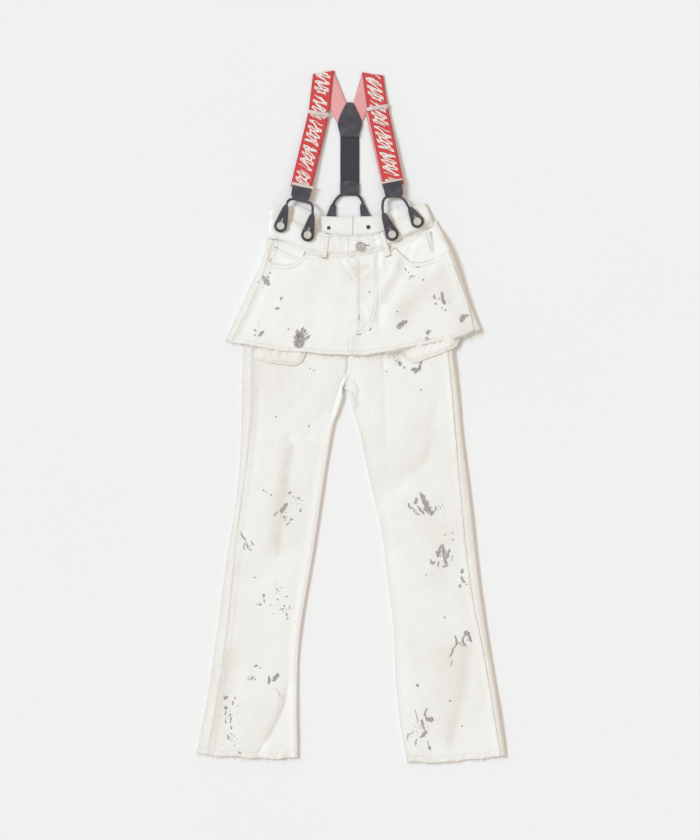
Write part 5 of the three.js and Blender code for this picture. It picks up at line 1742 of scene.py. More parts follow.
@dataclass
class Suspenders:
    """Y-back suspenders: webbing folded over its own back, yoke, elastic, leather ends and sliders."""

    low_ply: float = 0.8
    high_ply: float = 3.3
    lift_slider: float = 1.6
    lift_end: float = 6.0
    plans: tuple[StrapPlan, ...] = (
        StrapPlan(Side.LEFT, (-92.5, 408), (-59, 560.5), (-50, 635.5), 0.17, ((-19.5, 533), (-6.3, 577)),
                  2.4, 5.5,
                  (37, 23)),
        StrapPlan(Side.RIGHT, (80.5, 412), (50, 571), (41, 632.5), -0.15, ((5.0, 577), (17, 533)), -2.4,
                  3.4,
                  (36, 28)),
    )
    elastic_x: float = -1.3
    elastic_span: tuple[float, float] = (411, 528)

    def ribbon(self, name: str, left: Line, right: Line, seed: int, width: float) -> bpy.types.Object:
        """A ribbon between two edge lines in space, cupped a little and gently uneven.

        Args:
            name: The piece's name.
            left: Its left edge.
            right: Its right edge.
            seed: Which unevenness.
            width: Its real width, for the pattern.
        """
        count = int(left.length / 2.6)
        across = shares(width, 2.4, 0.6, 1.8)
        along = np.linspace(0, 1, count)[:, None]
        a, b = left.along(along[:, 0] * left.length), right.along(along[:, 0] * right.length)
        u = across[None, :, None]
        points = a[:, None, :] * (1 - u) + b[:, None, :] * u
        reach = along * (left.length + right.length) / 2 + 0 * across[None, :]
        side = (across[None, :] - 0.5) * width + 0 * along
        edge = width / 2 - np.abs(side)
        points[..., 2] += (0.22 * undulation(reach, side + 60 * seed, 38, 71 + seed)
                           + 0.1 * undulation(reach, side, 11, 73 + seed)
                           - 0.35 * (1 - crown(edge * 3)) + 0.12 * np.exp(-(((edge - 1.4) / 0.6) ** 2)))
        return grid_piece(name, points, weave=np.stack([side, reach], axis=-1))

    def strap_edges(self, plan: StrapPlan) -> tuple[Line, Line]:
        """The left and right edges of a strap's front, from its lower end up to the fold."""
        mean_turn = (plan.lower + plan.upper) / 2
        edges = []
        for sign in (-1, 1):
            half = sign * WEBBING_WIDTH / 2
            fold_half = half / math.cos(plan.fold_turn - plan.upper)
            slider_half = half / math.cos((plan.upper - plan.lower) / 2)
            end = (plan.end[0] + half * math.cos(plan.lower),
                   plan.end[1] + half * math.sin(plan.lower) + 13.5,
                   self.high_ply + self.lift_end)
            slider = (plan.slider[0] + slider_half * math.cos(mean_turn),
                      plan.slider[1] + slider_half * math.sin(mean_turn),
                      self.high_ply + self.lift_slider)
            fold = (plan.fold[0] + fold_half * math.cos(plan.fold_turn),
                    plan.fold[1] + fold_half * math.sin(plan.fold_turn), self.high_ply)
            spaced = [tuple(np.array(end) * (1 - t) + np.array(slider) * t) for t in (0, 0.3, 0.6, 0.88)]
            spaced += [tuple(np.array(slider) * (1 - t) + np.array(fold) * t) for t in (0.12, 0.4, 0.7,
                                                                                        1)]
            edges.append(Line(*spaced))
        return edges[0], edges[1]

    def strap(self, plan: StrapPlan, wardrobe: Wardrobe) -> bpy.types.Object:
        """One strap's webbing: up the front, round the fold and down to the yoke, reverse side up."""
        left, right = self.strap_edges(plan)
        name = f"strap_{plan.side.word}"
        width = WEBBING_WIDTH
        across = shares(width, 2.4, 0.6, 1.8)
        outward = np.array([-math.sin(plan.fold_turn), math.cos(plan.fold_turn), 0])
        radius = (self.high_ply - self.low_ply) / 2
        edges = []
        for line, yoke in ((left, plan.yoke[0]), (right, plan.yoke[1])):
            count = int(left.length / 2.6)
            front = line.along(np.linspace(0, line.length, count))
            top = front[-1]
            bend = np.array([top + outward * radius * math.sin(t)
                             + np.array([0, 0, radius * (math.cos(t) - 1)])
                             for t in np.linspace(0, math.pi, 9)[1:-1]])
            base = top - np.array([0, 0, 2 * radius])
            share = np.linspace(0, 1, 30)[:, None]
            back = base * (1 - share) + np.array([*yoke, self.low_ply]) * share
            edges.append(np.concatenate([front, bend, back]))
        fronts = count
        u = across[None, :, None]
        points = edges[0][:, None, :] * (1 - u) + edges[1][:, None, :] * u
        steps = np.linalg.norm(np.diff((edges[0] + edges[1]) / 2, axis=0), axis=1)
        reach = np.concatenate([[0], np.cumsum(steps)])[:, None] + 0 * across[None, :]
        side = (across[None, :] - 0.5) * width + 0 * reach
        edge = width / 2 - np.abs(side)
        on_front = 1.0 * (np.arange(len(points)) < fronts)[:, None]
        seed = 5 + plan.side.value
        points[..., 2] += (0.3 * undulation(reach, side + 60 * seed, 42, 71 + seed)
                           + 0.1 * undulation(reach, side, 12, 73 + seed)
                           - 0.35 * (1 - crown(edge * 3))
                           + 0.12 * np.exp(-(((edge - 1.4) / 0.6) ** 2))) * on_front
        weave = np.stack([side, reach + (8 if plan.side is Side.LEFT else 25)], axis=-1)
        piece = grid_piece(name, points, weave=weave)
        piece.data.materials.append(wardrobe.webbing)
        piece.data.materials.append(wardrobe.reverse)
        solid = thicken(piece, WEBBING).modifiers["thickness"]
        solid.material_offset = 1
        dress(piece, wardrobe.webbing, Slot.WEBBING, name)
        f"strap_return_{plan.side.word}"
        return piece

    def strap_return(self, plan: StrapPlan, wardrobe: Wardrobe) -> bpy.types.Object:
        """The webbing's return under the front, from the slider down to the leather end."""
        sides = []
        for sign in (-1, 1):
            half = sign * WEBBING_WIDTH / 2
            points = []
            for (px, py), lift in (((plan.end[0] - 0.6, plan.end[1] + 13.5), self.lift_end),
                                   ((plan.slider[0] - 1, plan.slider[1] - 6), self.lift_slider)):
                points.append((px + plan.shift + half * math.cos(plan.lower),
                               py + half * math.sin(plan.lower),
                               self.low_ply + 0.7 + lift))
            sides.append(Line(*points))
        name = f"strap_return_{plan.side.word}"
        piece = self.ribbon(name, sides[0], sides[1], 9, WEBBING_WIDTH)
        piece.data.materials.append(wardrobe.reverse)
        dress(thicken(piece, WEBBING), wardrobe.reverse, Slot.WEBBING, name)
        return piece

    def slider(self, plan: StrapPlan, wardrobe: Wardrobe) -> list[bpy.types.Object]:
        """The bent plate that slides on the webbing, and its lever."""
        turn = (plan.lower + plan.upper) / 2
        base = self.high_ply + self.lift_slider + 0.45
        half = WEBBING_WIDTH / 2 + 1.5
        bm = bmesh.new()
        bmesh.ops.create_cube(bm, size=1)
        bmesh.ops.scale(bm, vec=(2 * half, 7.4, 1.5), verts=bm.verts[:])
        bmesh.ops.translate(bm, vec=(0, 0, 0.75), verts=bm.verts[:])
        bmesh.ops.bevel(bm, geom=[e for e in bm.edges if abs(e.verts[0].co.z - e.verts[1].co.z) > 1],
                        offset=2.8, segments=6, profile=0.5, affect="EDGES", material=-1)
        tops = [e for e in bm.edges if min(v.co.z for v in e.verts) > 1.4 and len(e.link_faces) == 2
                and min(f.normal.z for f in e.link_faces) < 0.5]
        bmesh.ops.bevel(bm, geom=tops, offset=0.7, segments=4, profile=0.5, affect="EDGES", material=-1)
        hook = bmesh.ops.create_cube(bm, size=1)["verts"]
        bmesh.ops.scale(bm, vec=(1.3, 6.5, 3.4), verts=hook)
        bmesh.ops.translate(bm, vec=(-half + 0.65, 0, -0.9), verts=hook)
        other = bmesh.ops.create_cube(bm, size=1)["verts"]
        bmesh.ops.scale(bm, vec=(1.3, 6.5, 3.4), verts=other)
        bmesh.ops.translate(bm, vec=(half - 0.65, 0, -0.9), verts=other)
        name = f"slider_{plan.side.word}"
        plate = finish_bmesh(name, bm, plan.slider, base, turn)
        lever_name = f"slider_lever_{plan.side.word}"
        bm = bmesh.new()
        bmesh.ops.create_cube(bm, size=1)
        bmesh.ops.scale(bm, vec=(33, 4.2, 1.0), verts=bm.verts[:])
        bmesh.ops.bevel(bm, geom=bm.edges[:], offset=0.45, segments=3, profile=0.5, affect="EDGES",
                        material=-1)
        bmesh.ops.translate(bm, vec=(1, 0, 0.5), verts=bm.verts[:])
        tip = bmesh.ops.create_cube(bm, size=1)["verts"]
        bmesh.ops.scale(bm, vec=(5.2, 7.6, 0.9), verts=tip)
        bmesh.ops.translate(bm, vec=(14.6, -2.4, 0.5), verts=tip)
        edges = list({e for v in tip for e in v.link_edges})
        bmesh.ops.bevel(bm, geom=edges, offset=0.4, segments=3, profile=0.5, affect="EDGES", material=-1)
        lever = finish_bmesh(lever_name, bm, plan.slider, base + 1.6, turn)
        return [dress(plate, wardrobe.slider, Slot.SLIDER, name),
                dress(lever, wardrobe.slider, Slot.SLIDER, lever_name)]

    def bar(self, plan: StrapPlan, wardrobe: Wardrobe) -> bpy.types.Object:
        """The round-edged metal bar above the leather end."""
        bm = bmesh.new()
        half = WEBBING_WIDTH / 2 + 1.4
        bmesh.ops.create_cone(bm, cap_ends=True, segments=24, radius1=0.5, radius2=0.5, depth=1)
        bmesh.ops.bevel(bm, geom=[e for e in bm.edges if abs(e.verts[0].co.z - e.verts[1].co.z) < 0.1],
                        offset=0.03, segments=3, profile=0.5, affect="EDGES", material=-1)
        bmesh.ops.rotate(bm, verts=bm.verts[:], matrix=Matrix.Rotation(math.pi / 2, 3, "Y"))
        bmesh.ops.scale(bm, vec=(2 * half, plan.bar, 2.2), verts=bm.verts[:])
        bmesh.ops.translate(bm, vec=(0, plan.bar / 2 + 0.3, 1.2), verts=bm.verts[:])
        name = f"strap_bar_{plan.side.word}"
        made = finish_bmesh(name, bm, plan.leather_top, self.high_ply + self.lift_end + 0.3, plan.lower)
        return dress(made, wardrobe.slider, Slot.SLIDER, name)

    def leather_pad(self, name: str, outline: Callable[[np.ndarray], np.ndarray], length: float,
                    centre: Place,
                    z: float, turn: float, grooves: Sequence[float], wardrobe: Wardrobe,
                    rise: Callable[[np.ndarray], np.ndarray] | None = None) -> bpy.types.Object:
        """A leather piece drawn downwards from the middle of its upper edge.

        Args:
            name: The node it stands for.
            outline: Half width from the distance below the top, in millimetres.
            length: Its length.
            centre: Middle of its upper edge.
            z: Height of its underside.
            turn: Its turn.
            grooves: Distances from the top of the lines pressed across it.
            wardrobe: The garment's materials.
            rise: How far its upper edge stands above the centre, from the place across it.
        """
        across = (2 * shares(1, 0.06, 0.012, 0.06) - 1)[None, :]
        down = (shares(length, 1.1, 0.35, 1.8) * length)[:, None]
        half = outline(down)
        x = across * half
        arc = 0 if rise is None else rise(x) * (1 - down / length)
        y = -down + arc
        edge = np.minimum((1 - np.abs(across)) * half, np.minimum(down, length - down))
        z_top = LEATHER - 0.8 * (1 - crown(edge * 2.6)) + 0.12 * undulation(x * 3, y * 3, 14, 81)
        for groove in grooves:
            z_top = z_top - 0.45 * np.exp(-(((down - groove) / 0.5) ** 2)) \
                + 0.2 * np.exp(-(((down - groove - 1.2) / 0.9) ** 2))
        z_top = z_top - 0.25 * np.exp(-(((edge - 2.4) / 0.5) ** 2))
        points = np.stack([x + 0 * down, y + 0 * x, z_top + z], axis=-1)
        piece = grid_piece(name, turned(points, centre, turn), flip=True)
        # Lighter along the rounded edges: rubbed wear and a painted highlight.
        mark_wear_and_painted_light(piece, 0.35 * np.exp(-((edge / 1.1) ** 2)) + 0 * x)
        return dress(thicken(piece, LEATHER - 0.3), wardrobe.leather, Slot.LEATHER, name)

    def leathers(self, wardrobe: Wardrobe) -> list[bpy.types.Object]:
        """The ends of the front straps, the yoke and the end of the elastic."""
        made = []
        for plan in self.plans:
            width, length = plan.leather

            def half(down: np.ndarray, w: float = width, d: float = length) -> np.ndarray:
                """Half the end's width, drawn in at its lower corners."""
                corner = np.clip((down - (d - 6)) / 6, 0, 1)
                return w / 2 - 1.6 * down / d - 5.5 * (1 - np.sqrt(np.clip(1 - corner**2, 0, 1)))

            made.append(self.leather_pad(
                f"leather_end_{plan.side.word}", half, length, plan.leather_top,
                self.high_ply + self.lift_end + 0.3, plan.lower, (2.2, length * 0.36, length * 0.66),
                wardrobe))
        cap = Line((2.6, 0), (6.2, 1.4), (8.2, 4.4), (11.0, 9.5), (15.0, 17.5), (18.8, 26), (21.8, 35),
                   (22.4, 41), (21.4, 47), (19.8, 53), (18.4, 58), (17.7, 64))
        order = cap.samples[:, 1], cap.samples[:, 0]
        made.append(self.leather_pad("yoke_patch", lambda down: np.interp(down, *order), 64,
                                     (self.elastic_x, 581), 2.2, 0.0, (38.5,), wardrobe))
        made.append(self.leather_pad(
            "leather_end_back",
            lambda down: 17.9 - 4 * np.clip((down - 22.5) / 4, 0, 1) ** 2, 26.5, (self.elastic_x, 436.4),
            2.1, 0.0,
            (20.5,), wardrobe, rise=lambda x: -6.0 * (x / 17.9) ** 2))
        return made

    def elastic(self, wardrobe: Wardrobe) -> bpy.types.Object:
        """The ribbed elastic between the yoke and the back end."""
        low, high = self.elastic_span
        half = ELASTIC_WIDTH / 2
        left = Line((self.elastic_x - half, low, 1.85), (self.elastic_x - half, high, 1.85))
        right = Line((self.elastic_x + half, low, 1.85), (self.elastic_x + half, high, 1.85))
        piece = self.ribbon("elastic", left, right, 2, ELASTIC_WIDTH)
        dress(thicken(piece, 1.5), wardrobe.elastic, Slot.ELASTIC, "elastic")
        return piece

    def build(self, wardrobe: Wardrobe) -> list[bpy.types.Object]:
        """Builds the suspenders.

        Args:
            wardrobe: The garment's materials.

        Returns:
            The pieces on which stitches may lie.
        """
        laid = [self.elastic(wardrobe)]
        for plan in self.plans:
            laid.append(self.strap(plan, wardrobe))
            self.strap_return(plan, wardrobe)
            self.slider(plan, wardrobe)
            self.bar(plan, wardrobe)
        return laid + self.leathers(wardrobe)


@dataclass(frozen=True)
class TabPlan:
    """A leather button tab: its place, its top, its button and whether it is on the front."""

    place: str
    top: Place
    button: Place
    front: bool


@dataclass
class ButtonTabs:
    """The leather loops that button the suspenders on: twisted cords, teardrop tabs and buttons."""

    wide: float = 12.2
    plans: tuple[TabPlan, ...] = (
        TabPlan("left_outer", (-118, 391), (-129, 352), True),
        TabPlan("left_inner", (-70, 374), (-79, 335), True),
        TabPlan("right_inner", (60, 376), (77, 336), True),
        TabPlan("right_outer", (109, 386), (123.5, 360), True),
        TabPlan("left", (-31, 394), (-40, 349), False),
        TabPlan("right", (21, 394), (33, 350), False),
    )
    routes: dict[str, tuple[tuple[float, float, float], ...]] = field(default_factory=lambda: {
        "front_left": ((-118.2, 390, 15.6), (-115.6, 397, 13.2), (-110.5, 401, 10.9), (-104, 401.6, 9.6),
                       (-92, 399, 9.2), (-81, 396.6, 9.4), (-73.6, 393.4, 11.0), (-70, 387.4, 13.8),
                       (-69.9, 380, 16.6), (-70.2, 373, 17.8)),
        "front_right": ((59.9, 376, 15.4), (59.0, 387, 13), (60.6, 398.4, 10.8), (65.6, 404.8, 9.6),
                        (73, 406.6, 9.2), (82, 406.6, 9.2), (90, 406.2, 9.6), (96, 403, 10.8),
                        (101.6, 396.6, 12.0), (106.4, 388.4, 13.6), (109.4, 382.4, 13.9)),
        "back": ((-33.6, 389, 3.4), (-30.2, 396.4, 3.3), (-25, 403.6, 3.2), (-19, 409.0, 3.2),
                 (-10, 410.6, 3.2), (-2, 410.6, 3.2), (8, 410.6, 3.2), (14, 408.6, 3.2),
                 (18.8, 403.6, 3.2), (22.2, 396.4, 3.3), (24.6, 389, 3.4)),
    })

    def outline(self, angle: np.ndarray, length: float) -> np.ndarray:
        """A teardrop from its top at the origin down to its round end.

        Args:
            angle: Angles about the button's place, 0 towards the top.
            length: Of the tab.
        """
        eye = self.wide - length
        t = np.abs(((angle + math.pi) % (2 * math.pi)) - math.pi) / math.pi
        neck = Line((2.3, 0), (5.4, 0.13 * eye), (7.7, 0.4 * eye), (10.1, 0.7 * eye), (11.9, 0.93 * eye),
                    (self.wide, eye - 1), (11.3, eye - 5), (8.0, eye - 9.4), (3.8, eye - 11.6),
                    (0, eye - self.wide))
        top = Line((0, 0.3), (1.6, 0.3), (2.3, 0))
        reach = t * (neck.length + 2.4)
        x = np.where(reach < 2.4, np.interp(reach, [0, 2.4], [0, 2.3]),
                     np.interp(reach - 2.4, neck.reach, neck.samples[:, 0]))
        y = np.where(reach < 2.4, top.samples[0, 1],
                     np.interp(reach - 2.4, neck.reach, neck.samples[:, 1]))
        sign = np.where(((angle + math.pi) % (2 * math.pi)) - math.pi >= 0, 1, -1)
        return np.stack([x * sign, y], axis=-1)

    def keyhole(self, angle: np.ndarray, length: float) -> np.ndarray:
        """The hole for the button's shank, with its slit towards the top."""
        eye = self.wide - length
        a = ((angle + math.pi) % (2 * math.pi)) - math.pi
        slit = np.clip(1 - np.abs(a) / 0.75, 0, 1)
        radius = 3.6 + 12.5 * slit**1.1
        x = np.sin(a) * radius * (1 - 0.6 * slit)
        return np.stack([x, eye + np.cos(a) * radius], axis=-1)

    def tab(self, plan: TabPlan, low: float, wardrobe: Wardrobe) -> bpy.types.Object:
        """One tab: rings of leather from the keyhole to the outline, its rims rounded."""
        length = math.dist(plan.top, plan.button) + self.wide
        turn = math.atan2(plan.top[1] - plan.button[1], plan.top[0] - plan.button[0]) - math.pi / 2
        angles = np.linspace(0, 2 * math.pi, 97)
        inner, outer = self.keyhole(angles, length), self.outline(angles, length)
        rings = []
        for share in (0, 0.03, 0.08, 0.2, 0.35, 0.5, 0.65, 0.8, 0.9, 0.96, 1.0):
            ring = inner * (1 - share) + outer * share
            width = np.linalg.norm(outer - inner, axis=1)
            edge = np.minimum(share, 1 - share) * width
            z = low + LEATHER - 0.75 * (1 - crown(edge * 2.6)) - 0.3 * np.exp(-(((edge - 1.9) / 0.5) ** 2))
            z = z + 0.25 * undulation(ring[:, 0] * 2, ring[:, 1] * 2, 12, 91)
            rings.append(np.column_stack([ring, z]))
        name = f"{'front' if plan.front else 'back'}_button_tab_{plan.place}"
        piece = grid_piece(name, turned(np.array(rings), plan.top, turn), closed=True)
        bm = bmesh.new()
        bm.from_mesh(piece.data)
        bmesh.ops.recalc_face_normals(bm, faces=bm.faces[:])
        if sum(face.normal.z for face in bm.faces) < 0:
            bmesh.ops.reverse_faces(bm, faces=bm.faces[:])
        bm.to_mesh(piece.data)
        bm.free()
        piece.data.polygons.foreach_set("use_smooth", [True] * len(piece.data.polygons))
        return dress(thicken(piece, LEATHER - 0.2), wardrobe.leather, Slot.LEATHER, name)

    def cord(self, place: str, wardrobe: Wardrobe) -> bpy.types.Object:
        """A leather loop of three twisted strands along its route."""
        line = Line(*self.routes[place])
        reach = np.linspace(0, line.length, 90)
        route = line.along(reach)

        def radius(passed: float, angles: np.ndarray) -> np.ndarray:
            """Ring of the twisted strands, thinner where the loop enters a tab."""
            taper = 0.75 + 0.25 * min(1.0, passed / 8, (line.length - passed) / 8)
            return 2.3 * taper * (0.9 + 0.22 * np.abs(np.sin(1.5 * (angles - passed * 0.6))))

        piece = grid_piece(f"loop_cord_{place}", tube_points(route, radius, 18), closed=True)
        bm = bmesh.new()
        bm.from_mesh(piece.data)
        bmesh.ops.holes_fill(bm, edges=[e for e in bm.edges if e.is_boundary])
        bmesh.ops.recalc_face_normals(bm, faces=bm.faces[:])
        bm.to_mesh(piece.data)
        bm.free()
        return dress(piece, wardrobe.leather, Slot.LEATHER, f"loop_cord_{place}")

    def build(self, wardrobe: Wardrobe) -> list[bpy.types.Object]:
        """Builds the cords, the tabs and their buttons.

        Args:
            wardrobe: The garment's materials.

        Returns:
            The tabs.
        """
        tabs = []
        for plan in self.plans:
            kind = "front" if plan.front else "back"
            low, high = (corner.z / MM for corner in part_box(f"{kind}_button_tab_{plan.place}"))
            tabs.append(self.tab(plan, (low + high) / 2 - LEATHER / 2, wardrobe))
            name = f"{kind}_button_{plan.place}"
            base, head = (corner.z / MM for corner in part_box(name))
            if plan.front:
                profile = ((0, 0), (3.2, 0), (2.2, 0.8), (2.2, 3.4), (6.8, 3.5), (7.2, 4.1), (7.1, 4.8),
                           (6.6, 5.2), (5.9, 5.15), (5.3, 4.7), (3.6, 4.6), (3.2, 4.8), (2.6, 4.8),
                           (2.2, 4.55), (0, 4.5))
            else:
                rise = head - base
                profile = ((0, 0), (6.4, 0), (7.3, 0.8), (7.3, 1.8), (2.2, 1.9), (2.2, rise - 1.2),
                           (3.6, rise - 1.1), (3.8, rise - 0.7), (3.0, rise - 0.1), (1.2, rise),
                           (0, rise - 0.3))
            metal = wardrobe.button if plan.front else wardrobe.prong
            dress(spun(name, profile, plan.button, base), metal, Slot.BUTTON, name)
        for place in self.routes:
            self.cord(place, wardrobe)
        return tabs


@dataclass
class JeansButton:
    """The fly's tack button: a domed ring round a recessed, dotted middle."""

    centre: Place = (17.5, 314)

    def build(self, wardrobe: Wardrobe) -> bpy.types.Object:
        """Builds the button."""
        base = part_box("jeans_button")[0].z / MM
        profile = ((0, 0), (5, 0), (2.6, 0.7), (2.6, 1.3), (7.4, 1.3), (8.6, 1.8), (8.9, 2.6), (8.5, 3.3),
                   (7.6, 3.7), (6.7, 3.55), (6.2, 3.0), (5.5, 2.85), (5.0, 3.35), (4.3, 3.6), (3.6, 3.3),
                   (3.1, 2.8), (2.2, 2.8), (1.7, 3.2), (1.0, 3.5), (0, 3.6))
        made = spun("jeans_button", profile, self.centre, base, steps=48)
        return dress(made, wardrobe.rivet, Slot.SLIDER, "jeans_button")


# ---------------------------------------------------------------- stitching


@dataclass(frozen=True)
class StitchRow:
    """A row of lockstitch: its path on the table and the size of its stitches, in millimetres."""

    path: Line
    length: float = 2.5
    pitch: float = 3.3
    thick: float = 0.62


@dataclass(frozen=True)
class BarTack:
    """A short bar of close stitches laid across a line."""

    start: Place
    end: Place
    width: float = 2.6


class Stitcher:
    """Lays stitches on the finished cloth, each a small rounded bar of thread."""

    def __init__(self, ground: Ground) -> None:
        """Keeps the ground on which the stitches lie."""
        self.ground = ground
        bm = bmesh.new()
        bmesh.ops.create_uvsphere(bm, u_segments=6, v_segments=5, radius=0.5)
        bmesh.ops.rotate(bm, verts=bm.verts[:], matrix=Matrix.Rotation(math.pi / 2, 3, "Y"))
        self.template = bm
        self.shape = template_points(bm)

    def bar(self, centre: np.ndarray, way: np.ndarray, up: np.ndarray, length: float,
            thick: float) -> np.ndarray:
        """The template's points as one stitch along a way on the cloth."""
        way = way - up * (way @ up)
        way /= max(np.linalg.norm(way), 1e-9)
        side = np.cross(up, way)
        x, y, z = self.shape.T
        return (centre + np.outer(x * length, way) + np.outer(y * thick, side)
                + np.outer(z * thick * 0.9 + 0.12, up))

    def row(self, row: StitchRow) -> list[np.ndarray]:
        """The stitches of one row that lie on the cloth."""
        clouds = []
        for reach in np.arange(row.pitch / 2, row.path.length, row.pitch):
            x, y = row.path.along(reach)[:2]
            before, after = row.path.along(reach - 0.8), row.path.along(reach + 0.8)
            found = self.ground.drop(float(x), float(y))
            if found is None:
                continue
            way = np.array([after[0] - before[0], after[1] - before[1], 0.0])
            clouds.append(self.bar(found[0], way, found[1], row.length, row.thick))
        return clouds

    def tack(self, tack: BarTack) -> list[np.ndarray]:
        """The close stitches of a bar tack, each across the bar."""
        clouds = []
        start, end = np.array(tack.start), np.array(tack.end)
        span = float(np.linalg.norm(end - start))
        way = (end - start) / span
        across = np.array([-way[1], way[0], 0.0])
        for reach in np.arange(0, span, 0.75):
            place = start + way * reach
            found = self.ground.drop(float(place[0]), float(place[1]))
            if found is not None:
                clouds.append(self.bar(found[0] + 0.1 * found[1], across, found[1], tack.width, 0.7))
        return clouds

    def sew(self, name: str, material: bpy.types.Material, rows: Sequence[StitchRow],
            tacks: Sequence[BarTack] = (), slot: Slot = Slot.DENIM) -> bpy.types.Object:
        """Joins the stitches of several rows and tacks into one piece.

        Args:
            name: The piece's name.
            material: The thread.
            rows: Rows of stitches.
            tacks: Bar tacks.
            slot: The record's slot.
        """
        clouds = [cloud for row in rows for cloud in self.row(row)]
        clouds += [cloud for tack in tacks for cloud in self.tack(tack)]
        return dress(repeat_mesh(name, self.template.copy(), clouds), material, slot)


@dataclass
class Needlework:
    """All the garment's visible stitching, placed from the lines of its parts."""

    trousers: Trousers
    skirt: Overskirt
    pockets: Pockets
    band: Waistband

    def skirt_rows(self) -> list[StitchRow]:
        """The overskirt's side seams, fly, scoops, coin pocket and the line above its raw hem."""
        rows = []
        left, right = self.skirt.seam_line[Side.LEFT], self.skirt.seam_line[Side.RIGHT]
        rows += [StitchRow(left.beside(2.4)), StitchRow(left.part(0, 0.5).beside(8.5))]
        rows += [StitchRow(right.beside(-2.4)), StitchRow(right.beside(-8.5))]
        for side, (start, end) in ((Side.LEFT, (0.09, 0.56)), (Side.RIGHT, (0.3, 0.83))):
            scoop = self.skirt.waist[side].part(start, end)
            rows += [StitchRow(scoop.beside(-2.2)), StitchRow(scoop.beside(-8.4))]
        coin = self.pockets.coin[1][1]
        rows += [StitchRow(coin.part(0.12, 0.85).beside(-2)), StitchRow(coin.part(0.12, 0.85).beside(-7))]
        fly = Line((50, 300), (50.5, 270), (50, 225), (47, 195), (38, 172), (26, 158), (15, 151))
        rows += [StitchRow(fly), StitchRow(fly.beside(-6))]
        rows += [StitchRow(Line((15.4, 290), (15.6, 236), (15.4, 165))),
                 StitchRow(Line((3, 148), (2.6, 132), (2.4, 116))),
                 StitchRow(Line((-3.6, 146), (-3.8, 116)))]
        rows += [StitchRow(self.skirt.hem.part(0.06, 0.94).beside(7.2), thick=0.5)]
        return rows

    def band_rows(self) -> list[StitchRow]:
        """The waistband's edges, front and inside back, and the edges of its loops."""
        rows = []
        for line, distance in ((self.band.top_front, -2.2), (self.band.low_front, 2.2)):
            rows.append(StitchRow(line.part(0.03, 0.97).beside(distance)))
        rows += [StitchRow(self.band.top_front.part(0.03, 0.97).beside(-8.4), thick=0.5)]
        rows += [StitchRow(self.band.top_back.part(0.32, 0.74).beside(-2.4)),
                 StitchRow(self.band.low_back.part(0.34, 0.7).beside(3))]
        rows += [StitchRow(Line((-1.2, 335), (-1.2, 299))), StitchRow(Line((3.6, 366), (3.6, 339))),
                 StitchRow(Line((7.6, 366), (7.6, 339)))]
        for side in Side:
            (ax, ay), (bx, by), (cx, cy), (dx, dy) = self.band.loops[side]
            for share in (0.2, 0.8):
                top = (ax + (bx - ax) * share, ay + (by - ay) * share)
                foot = (dx + (cx - dx) * share, dy + (cy - dy) * share)
                rows.append(StitchRow(Line(foot, top), thick=0.5))
        return rows

    def tacks(self) -> list[BarTack]:
        """Bar tacks at the loops' ends, the fly, the scoops and the coin pocket."""
        return [
            BarTack((-53, 293.4), (-45, 293.4)), BarTack((-46, 337.6), (-38, 337.4)),
            BarTack((64.4, 294.6), (75.4, 298.4)), BarTack((51.8, 338.6), (60, 343.2)),
            BarTack((10, 152), (20, 151.4)), BarTack((15.5, 188), (15.5, 178)),
            BarTack((-86.6, 297), (-83.4, 305)), BarTack((81, 311), (76.6, 306)),
            BarTack((-140, 312.6), (-134, 312), 2.2), BarTack((-149.4, 285), (-146, 292)),
        ]

    def leg_rows(self) -> list[StitchRow]:
        """The legs' hems, the edges beside their outseams at the hip and the bags' sewn edges."""
        rows = [StitchRow(self.trousers.hem[side].part(0.02, 0.98).beside(10.6)) for side in Side]
        rows += [StitchRow(self.trousers.outseam[Side.LEFT].beside(2.2).part(0.2, 0.42)),
                 StitchRow(self.trousers.outseam[Side.RIGHT].beside(-2.2).part(0.24, 0.42))]
        rows += [StitchRow(self.trousers.inseam.part(0.3, 0.37).beside(-2.4)),
                 StitchRow(self.trousers.inseam.part(0.3, 0.37).beside(-7))]
        for side in Side:
            rows.append(StitchRow(self.pockets.bag_ends[side][0].beside(5.4), thick=0.45))
        return rows

    def build(self, ground: Ground, wardrobe: Wardrobe) -> None:
        """Sews the skirt, the legs and the buttonhole.

        Args:
            ground: The finished cloth.
            wardrobe: The garment's materials.
        """
        stitcher = Stitcher(ground)
        stitcher.sew("stitching_skirt", wardrobe.stitch, self.skirt_rows() + self.band_rows(),
                     self.tacks())
        stitcher.sew("stitching_legs", wardrobe.stitch, self.leg_rows())
        stitcher.sew("buttonhole", wardrobe.dark_thread, [], [BarTack((26.6, 316.4), (35.4, 316), 1.8)])


# ---------------------------------------------------------------- frayed edges


@dataclass(frozen=True)
class FrayedEdge:
    """A raw edge that sheds threads: its line, how many threads, how long and which way they point."""

    line: Line
    count: int
    length: float
    inset: float
    drop: float
    seed: int
    outward: float = -1.0


